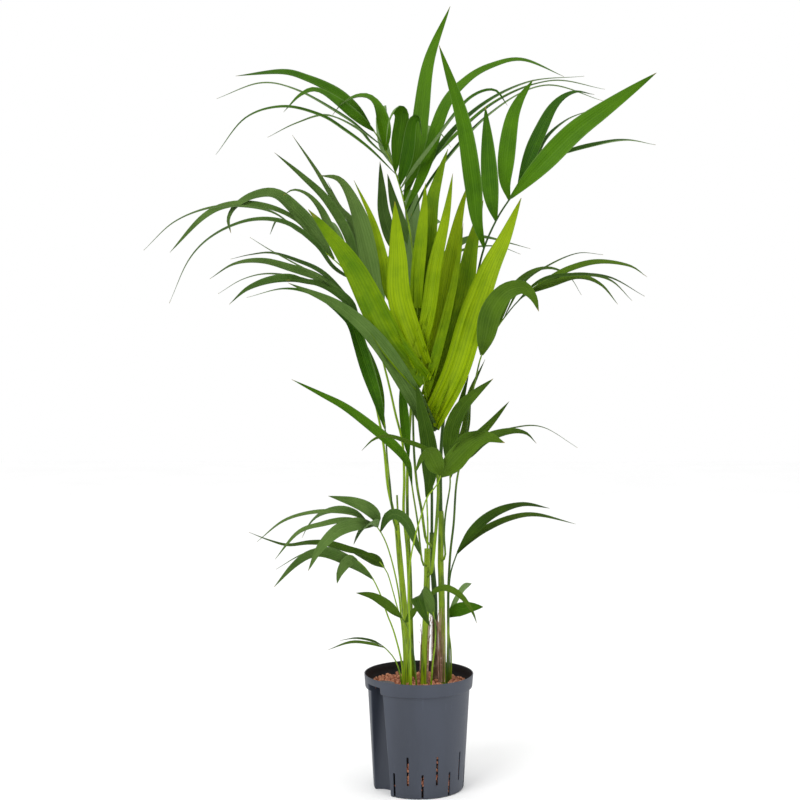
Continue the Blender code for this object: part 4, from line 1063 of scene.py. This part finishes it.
def pot_outline(radius, height, grow, lip, with_channel):
    """One level of the wall, anticlockwise, with or without the gauge channel."""
    spot, run = channel_side(radius, height, grow)
    corner = spot(run)
    opening = math.atan2(corner.y, corner.x) + lip / radius
    arc = [opening + (math.tau - 2 * opening) * i / ARC_POINTS for i in range(ARC_POINTS + 1)]
    outline = [Vector((radius * math.cos(a), radius * math.sin(a))) for a in arc]
    if with_channel:
        side = [spot((run - lip) * i / SIDE_POINTS) for i in range(SIDE_POINTS + 1)]
        side += lip_curve(side[-1], corner, outline[0])
        rest = [Vector((x, -y)) for x, y in reversed(side)] + side[1:]
    else:
        count = 2 * (SIDE_POINTS + LIP_POINTS) + 1
        turns = [opening * (2 * (i + 1) / (count + 1) - 1) for i in range(count)]
        rest = [Vector((radius * math.cos(a), radius * math.sin(a))) for a in turns]
    turn = CHANNEL_ANGLE
    return [
        (x * math.cos(turn) - y * math.sin(turn), x * math.sin(turn) + y * math.cos(turn))
        for x, y in outline + rest
    ]


def wall_levels():
    """Levels of the pot from the outer foot over the rim to the inner floor."""
    pot = bpy.context.scene.palm_pot
    wall = pot.wall
    lip = pot.lip_round
    band = POT_HEIGHT - RIM_BAND
    # Each level: radius, height, widening of the channel, rounding of its lip, whether it has the channel,
    # and its share of painted shade, 1 on the inside.
    levels = []
    for share in (0.0, 0.3, 0.6, 1.0):
        drop = FOOT_ROUND * (1 - math.sin(math.pi / 2 * share))
        rise = FOOT_ROUND * (1 - math.cos(math.pi / 2 * share))
        levels.append((outer_radius(rise) - drop, rise, 0.0, lip, True, 0.0))
    for i in range(1, 13):
        height = FOOT_ROUND + (band - RIM_STEP - 0.0006 - FOOT_ROUND) * i / 12
        levels.append((outer_radius(height), height, 0.0, lip, True, 0.0))
    levels.append((SHOULDER_RADIUS + 0.0004, band - RIM_STEP + 0.0004, 0.0, lip, True, 0.0))
    levels.append((RIM_RADIUS - RIM_LEAN - 0.0006, band - 0.0008, 0.0, lip, True, 0.0))
    levels.append((RIM_RADIUS - RIM_LEAN, band + 0.0006, 0.0, lip, True, 0.0))
    for height in (band + 0.004, CHANNEL_ROOF - 0.0008):
        levels.append((outer_radius(height), height, 0.0, lip, True, 0.0))
    levels.append((outer_radius(CHANNEL_ROOF), CHANNEL_ROOF, 0.0, lip, True, 0.0))
    levels.append((outer_radius(CHANNEL_ROOF), CHANNEL_ROOF, 0.0, lip, False, 0.0))
    levels.append((outer_radius(CHANNEL_ROOF + 0.004), CHANNEL_ROOF + 0.004, 0.0, lip, False, 0.0))
    # The inner half of the rounded rim takes the painted shade.
    round_rim = wall / 2
    for i in range(9):
        angle = math.pi * i / 8
        radius = RIM_RADIUS - round_rim + round_rim * math.cos(angle)
        height = POT_HEIGHT - round_rim + round_rim * math.sin(angle)
        levels.append((radius, height, 0.0, lip, False, 1.0 if i > 5 else 0.0))
    shelf = CHANNEL_ROOF + wall
    levels.append((outer_radius(shelf) - wall, shelf + 0.001, wall, 0.0006, False, 1.0))
    levels.append((outer_radius(shelf) - wall, shelf, wall, 0.0006, False, 1.0))
    levels.append((outer_radius(shelf) - wall, shelf, wall, 0.0006, True, 1.0))
    for height in (band + 0.001, band - 0.0005, band - RIM_STEP, 0.12, 0.07, 0.03, FLOOR_THICKNESS):
        levels.append((outer_radius(height) - wall, height, wall, 0.0006, True, 1.0))
    return levels


def slot_cutter(angle, bottom, top):
    """A drain slot: a thin upright slab with a rounded head."""
    bm = bmesh.new()
    half = SLOT_WIDTH / 2
    outline = [(-half, bottom), (half, bottom)]
    for i in range(7):
        turn = math.pi * i / 6
        outline.append((half * math.cos(turn), top - half + half * math.sin(turn)))
    rings = []
    for reach in (BASE_RADIUS - 0.005, RIM_RADIUS + 0.004):
        ring = []
        for y, z in outline:
            x = reach * math.cos(angle) - y * math.sin(angle)
            ring.append(bm.verts.new((x, reach * math.sin(angle) + y * math.cos(angle), z)))
        rings.append(ring)
    ring_faces(bm, *rings)
    for ring in rings:
        bm.faces.new(ring)
    return bm


def make_pot():
    bm = bmesh.new()
    painted_inside_shade = bm.verts.layers.float.new("painted_inside_shade")
    rings = []
    # The last value of each level paints shade near black on the inside of the pot.
    for radius, height, grow, lip, with_channel, dark in wall_levels():
        ring = []
        for x, y in pot_outline(radius, height, grow, lip, with_channel):
            made = bm.verts.new((x, y, height))
            made[painted_inside_shade] = dark
            ring.append(made)
        rings.append(ring)
    for lower, upper in zip(rings, rings[1:]):
        ring_faces(bm, lower, upper)
    bm.faces.new(list(reversed(rings[0])))
    bm.faces.new(rings[-1])
    bmesh.ops.recalc_face_normals(bm, faces=bm.faces)
    mesh = bpy.data.meshes.new("pot_wall")
    bm.to_mesh(mesh)
    bm.free()
    mesh.materials.append(finish("pot"))

    slots = bmesh.new()
    for i in range(SLOT_COUNT):
        bottom, top = HIGH_SLOT if i % 2 else LOW_SLOT
        piece = slot_cutter(FIRST_SLOT_ANGLE + SLOT_STEP * i, bottom, top)
        part = bpy.data.meshes.new("slot")
        piece.to_mesh(part)
        piece.free()
        slots.from_mesh(part)
        bpy.data.meshes.remove(part)
    bmesh.ops.recalc_face_normals(slots, faces=slots.faces)
    cutter_mesh = bpy.data.meshes.new("slots")
    slots.to_mesh(cutter_mesh)
    slots.free()
    pot = bpy.data.objects.new("pot_raw", mesh)
    cutter = bpy.data.objects.new("slots", cutter_mesh)
    for each in (pot, cutter):
        bpy.context.scene.collection.objects.link(each)
    cut = pot.modifiers.new("Slots", "BOOLEAN")
    cut.operation = "DIFFERENCE"
    cut.solver = "EXACT"
    cut.object = cutter
    graph = bpy.context.evaluated_depsgraph_get()
    made = bpy.data.meshes.new_from_object(pot.evaluated_get(graph))
    for each in (pot, cutter):
        bpy.data.objects.remove(each)
    return object_from("moulded_pot", made, ["culture_pot"], 28)


# ---------------------------------------------------------------- granules
def bed_mesh():
    """The heap under the loose granules: a bumpy top and the side behind the slots, which carries painted
    shade.
    """
    skin_bm = bmesh.new()
    tone = skin_bm.verts.layers.float.new("grain_tone_and_painted_shade")
    levels = []
    for height in (0.0035, 0.02, 0.05, 0.08, 0.12, 0.15, BED_SHOULDER):
        levels.append((height, 1.0))
    for share in (0.985, 0.93, 0.85, 0.75, 0.62, 0.5, 0.38, 0.25, 0.12):
        levels.append((BED_TOP, share))
    rings = []
    for height, share in levels:
        ring = []
        on_top = height > BED_SHOULDER
        side = min(height, BED_SHOULDER)
        gap = BED_GAP_BY_SLOTS if side < SLOT_ZONE else BED_GAP
        for x, y in pot_outline(outer_radius(side) - gap, side, gap, INNER_LIP, True):
            rise = 0.0016 * noise.noise(Vector((x * 60, y * 60, 0.3))) if on_top else 0.0
            made = skin_bm.verts.new((x * share, y * share, height + rise))
            # Painted shade: the side behind the slots takes a tone of -1, painted near black; the top takes
            # 0.3.
            made[tone] = 0.3 if on_top else -1.0
            ring.append(made)
        rings.append(ring)
    for lower, upper in zip(rings, rings[1:]):
        ring_faces(skin_bm, lower, upper)
    skin_bm.faces.new(list(reversed(rings[0])))
    skin_bm.faces.new(rings[-1])
    bmesh.ops.recalc_face_normals(skin_bm, faces=skin_bm.faces)
    mesh = bpy.data.meshes.new("granule_bed")
    skin_bm.to_mesh(mesh)
    skin_bm.free()
    return mesh


def vector_maths(tree, operation, first, **others):
    node = add_node(tree, "ShaderNodeVectorMath", {"operation": operation}, i0=first, **others)
    return node.outputs["Value" if operation == "DOT_PRODUCT" else 0]


def random_share(tree, low, high):
    node = add_node(tree, "FunctionNodeRandomValue", {"data_type": "FLOAT"}, i2=low, i3=high)
    return node.outputs[1]


def random_vector(tree, low, high):
    return add_node(tree, "FunctionNodeRandomValue", {"data_type": "FLOAT_VECTOR"}, i0=low, i1=high)


def granule_tree():
    """Geometry nodes that heap clay granules on a bed and behind the drain slots."""
    tree = bpy.data.node_groups.new("Heaped Granules", "GeometryNodeTree")
    face = tree.interface
    for name, kind in (
        ("Geometry", "Geometry"), ("Granule Size", "Float"), ("Seed", "Int"), ("Finish", "Material"),
    ):
        face.new_socket(name, in_out="INPUT", socket_type="NodeSocket" + kind)
    face.new_socket("Geometry", in_out="OUTPUT", socket_type="NodeSocketGeometry")
    start = add_node(tree, "NodeGroupInput")
    bed, size, seed, clay = (start.outputs[i] for i in range(4))
    spot = add_node(tree, "GeometryNodeInputPosition").outputs[0]
    level = add_node(tree, "ShaderNodeSeparateXYZ", i0=spot).outputs[2]

    # Granules lie on the top of the bed and, below, wherever a drain slot shows them,
    # but not on the wall of the gauge channel.
    on_top = maths(tree, "GREATER_THAN", level, BED_SHOULDER + 0.0015)
    under_heads = maths(tree, "LESS_THAN", level, HIGH_SLOT[1] + 0.0065)
    by_slots = maths(tree, "MULTIPLY", under_heads, maths(tree, "GREATER_THAN", level, 0.004))
    outward = (math.cos(CHANNEL_ANGLE), math.sin(CHANNEL_ANGLE), 0.0)
    along_wall = (-math.sin(CHANNEL_ANGLE), math.cos(CHANNEL_ANGLE), 0.0)
    toward = vector_maths(tree, "DOT_PRODUCT", spot, i1=outward)
    sideways = vector_maths(tree, "DOT_PRODUCT", spot, i1=along_wall)
    beside = maths(tree, "GREATER_THAN", maths(tree, "ABSOLUTE", sideways), 0.0315)
    away = maths(tree, "MAXIMUM", beside, maths(tree, "LESS_THAN", toward, 0.0))
    chosen = maths(tree, "MAXIMUM", on_top, maths(tree, "MULTIPLY", by_slots, away))
    points = add_node(
        tree, "GeometryNodeDistributePointsOnFaces", {"distribute_method": "POISSON"},
        Mesh=bed, Selection=chosen, Distance_Min=maths(tree, "MULTIPLY", size, 0.62),
        Density_Max=60000.0, Seed=seed,
    )
    # One granule: a small block of 24 faces, drawn out to a ball of unit size.
    block = add_node(tree, "GeometryNodeMeshCube", Vertices_X=3, Vertices_Y=3, Vertices_Z=3)
    here = add_node(tree, "GeometryNodeInputPosition").outputs[0]
    ball = vector_maths(tree, "SCALE", vector_maths(tree, "NORMALIZE", here), Scale=0.5)
    lump = add_node(tree, "GeometryNodeSetPosition", Geometry=block.outputs[0], Position=ball)
    turn = random_vector(tree, (0, 0, 0), (6.28, 6.28, 6.28))
    tree.links.new(seed, turn.inputs["Seed"])
    spread = random_vector(tree, (0.62, 0.62, 0.55), (1.18, 1.10, 1.0))
    scatter = add_node(
        tree, "GeometryNodeInstanceOnPoints", Points=points.outputs[0], Instance=lump.outputs[0],
        Rotation=turn.outputs[0], Scale=vector_maths(tree, "SCALE", spread.outputs[0], Scale=size),
    )
    named = add_node(
        tree, "GeometryNodeStoreNamedAttribute", {"data_type": "FLOAT", "domain": "INSTANCE"},
        Geometry=scatter.outputs[0], Name="grain_tone_and_painted_shade", Value=random_share(tree, 0.0, 1.0),
    )
    # Side granules lean out towards the wall; top ones rise a little or sink, at random.
    here_level = add_node(tree, "ShaderNodeSeparateXYZ", i0=spot).outputs[2]
    on_heap = maths(tree, "GREATER_THAN", here_level, SLOT_ZONE)
    hop = maths(tree, "MULTIPLY", random_share(tree, -0.0015, 0.0035), on_heap)
    rise = add_node(tree, "ShaderNodeCombineXYZ", i2=hop)
    lean = vector_maths(tree, "MULTIPLY", spot, i1=(0.018, 0.018, 0.0))
    lean = vector_maths(tree, "SCALE", lean, Scale=maths(tree, "SUBTRACT", 1.0, on_heap))
    move = vector_maths(tree, "ADD", rise.outputs[0], i1=lean)
    moved = add_node(tree, "GeometryNodeTranslateInstances", Instances=named.outputs[0], Translation=move)
    moved.inputs["Local Space"].default_value = False
    loose = add_node(tree, "GeometryNodeRealizeInstances", Geometry=moved.outputs[0])
    # Each granule is a little out of round.
    warp = add_node(tree, "ShaderNodeTexNoise", Scale=260.0, Detail=2.0)
    centred = vector_maths(tree, "SUBTRACT", warp.outputs["Color"], i1=(0.5, 0.5, 0.5))
    shift = vector_maths(tree, "SCALE", centred, Scale=maths(tree, "MULTIPLY", size, 0.35))
    rough = add_node(tree, "GeometryNodeSetPosition", Geometry=loose.outputs[0], Offset=shift)
    joined = add_node(tree, "GeometryNodeJoinGeometry")
    tree.links.new(bed, joined.inputs[0])
    tree.links.new(rough.outputs[0], joined.inputs[0])
    whole = add_node(tree, "GeometryNodeRealizeInstances", Geometry=joined.outputs[0])
    dressed = add_node(tree, "GeometryNodeSetMaterial", Geometry=whole.outputs[0], Material=clay)
    end = add_node(tree, "NodeGroupOutput")
    tree.links.new(dressed.outputs[0], end.inputs[0])
    return tree


def make_granules():
    settings = bpy.context.scene.palm_granules
    heap = bpy.data.objects.new("granule_heap", bed_mesh())
    bpy.context.scene.collection.objects.link(heap)
    scatter = heap.modifiers.new("Granules", "NODES")
    scatter.node_group = granule_tree()
    values = {"Granule Size": settings.size, "Seed": settings.seed, "Finish": finish("clay")}
    for socket in scatter.node_group.interface.items_tree:
        if socket.in_out == "INPUT" and socket.name in values:
            scatter[socket.identifier] = values[socket.name]
    graph = bpy.context.evaluated_depsgraph_get()
    made = bpy.data.meshes.new_from_object(heap.evaluated_get(graph))
    bpy.data.objects.remove(heap)
    return object_from("heaped_granules", made, ["clay_granules"], 70)


# ------------------------------------------------------------------- stage
def area_light(name, spot, aim, size, power):
    lamp = bpy.data.lights.new(name, "AREA")
    lamp.size = size
    lamp.energy = power
    made = bpy.data.objects.new(name, lamp)
    bpy.context.scene.collection.objects.link(made)
    made.location = spot
    made.rotation_euler = (Vector(aim) - Vector(spot)).to_track_quat("-Z", "Y").to_euler()


def make_stage():
    settings = bpy.context.scene.palm_stage
    half = settings.floor_size / 2
    bm = bmesh.new()
    corners = [bm.verts.new((x * half, y * half, 0)) for x, y in ((-1, -1), (1, -1), (1, 1), (-1, 1))]
    bm.faces.new(corners)
    mesh = bpy.data.meshes.new("studio_floor")
    bm.to_mesh(mesh)
    bm.free()
    mesh.materials.append(floor_material())
    floor = bpy.data.objects.new("studio_floor", mesh)
    bpy.context.scene.collection.objects.link(floor)

    world = bpy.data.worlds.new("studio air")
    world.use_nodes = True
    air = world.node_tree.nodes["Background"]
    air.inputs["Color"].default_value = (1, 1, 1, 1)
    air.inputs["Strength"].default_value = 1.0
    bpy.context.scene.world = world
    bpy.context.scene.view_settings.view_transform = "Standard"
    area_light("key", (-1.6, -2.2, 2.6), (0, 0, 0.7), 1.6, settings.key_power)
    area_light("fill", (2.2, -1.6, 1.2), (0, 0, 0.6), 2.0, settings.key_power * 0.25)

    lens = bpy.data.cameras.new("camera")
    lens.lens = 67.4
    lens.sensor_width = 36.0
    camera = bpy.data.objects.new("camera", lens)
    bpy.context.scene.collection.objects.link(camera)
    camera.location = (-0.031, -2.45, 0.76)
    aim = Vector((-0.031, 0, 0.6405)) - camera.location
    camera.rotation_euler = aim.to_track_quat("-Z", "Y").to_euler()
    bpy.context.scene.camera = camera


# --------------------------------------------------------------- operators
class PALM_OT_pot(bpy.types.Operator):
    """Mould the culture pot with its gauge channel and drain slots"""

    bl_idname = "palm.pot"
    bl_label = "Culture Pot"

    def execute(self, context):
        make_pot()
        return {"FINISHED"}


class PALM_OT_granules(bpy.types.Operator):
    """Fill the pot with fired clay granules"""

    bl_idname = "palm.granules"
    bl_label = "Clay Granules"

    def execute(self, context):
        make_granules()
        return {"FINISHED"}


class PALM_OT_stems(bpy.types.Operator):
    """Grow the stems and the cut stalk"""

    bl_idname = "palm.stems"
    bl_label = "Stems"

    def execute(self, context):
        for name, form in STEMS.items():
            make_stem(name, *form)
        make_stem("cut_stalk", *CUT_STALK)
        return {"FINISHED"}


class PALM_OT_sheaths(bpy.types.Operator):
    """Wrap the stems in their dry, torn sheaths"""

    bl_idname = "palm.sheaths"
    bl_label = "Dry Sheaths"

    def execute(self, context):
        for name, form in SHEATHS.items():
            make_sheath(name, *form)
        return {"FINISHED"}


class PALM_OT_fronds(bpy.types.Operator):
    """Grow the fronds: stalk, rib and pleated leaflets"""

    bl_idname = "palm.fronds"
    bl_label = "Fronds"

    def execute(self, context):
        for name, form in FRONDS.items():
            make_frond(name, *form, look_of(name))
        return {"FINISHED"}


class PALM_OT_stage(bpy.types.Operator):
    """Set the white floor, the soft lights and the camera"""

    bl_idname = "palm.stage"
    bl_label = "Studio Stage"

    def execute(self, context):
        make_stage()
        return {"FINISHED"}


class PALM_PT_panel(bpy.types.Panel):
    """Lists the palm's pieces and their sizes"""

    bl_idname = "PALM_PT_panel"
    bl_label = "Potted Palm"
    bl_space_type = "VIEW_3D"
    bl_region_type = "UI"
    bl_category = "Palm"

    def draw(self, context):
        layout = self.layout
        scene = context.scene
        for heading, settings, operators in (
            ("Pot", scene.palm_pot, ("palm.pot",)),
            ("Granules", scene.palm_granules, ("palm.granules",)),
            ("Plant", scene.palm_leaf, ("palm.stems", "palm.sheaths", "palm.fronds")),
            ("Stage", scene.palm_stage, ("palm.stage",)),
        ):
            box = layout.box()
            box.label(text=heading)
            for key in settings.bl_rna.properties.keys():
                if key not in ("rna_type", "name"):
                    box.prop(settings, key)
            for operator in operators:
                box.operator(operator)


SETTINGS = {
    "palm_pot": PotSettings,
    "palm_granules": GranuleSettings,
    "palm_leaf": LeafSettings,
    "palm_stage": StageSettings,
}
CLASSES = (
    *SETTINGS.values(),
    PALM_OT_pot,
    PALM_OT_granules,
    PALM_OT_stems,
    PALM_OT_sheaths,
    PALM_OT_fronds,
    PALM_OT_stage,
    PALM_PT_panel,
)


def register():
    for each in CLASSES:
        bpy.utils.register_class(each)
    for name, settings in SETTINGS.items():
        setattr(bpy.types.Scene, name, PointerProperty(type=settings))


def unregister():
    for name in SETTINGS:
        delattr(bpy.types.Scene, name)
    for each in reversed(CLASSES):
        bpy.utils.unregister_class(each)


def main():
    register()
    bpy.ops.palm.stage()
    bpy.ops.palm.pot()
    bpy.ops.palm.granules()
    bpy.ops.palm.stems()
    bpy.ops.palm.sheaths()
    bpy.ops.palm.fronds()


if __name__ == "__main__":
    main()
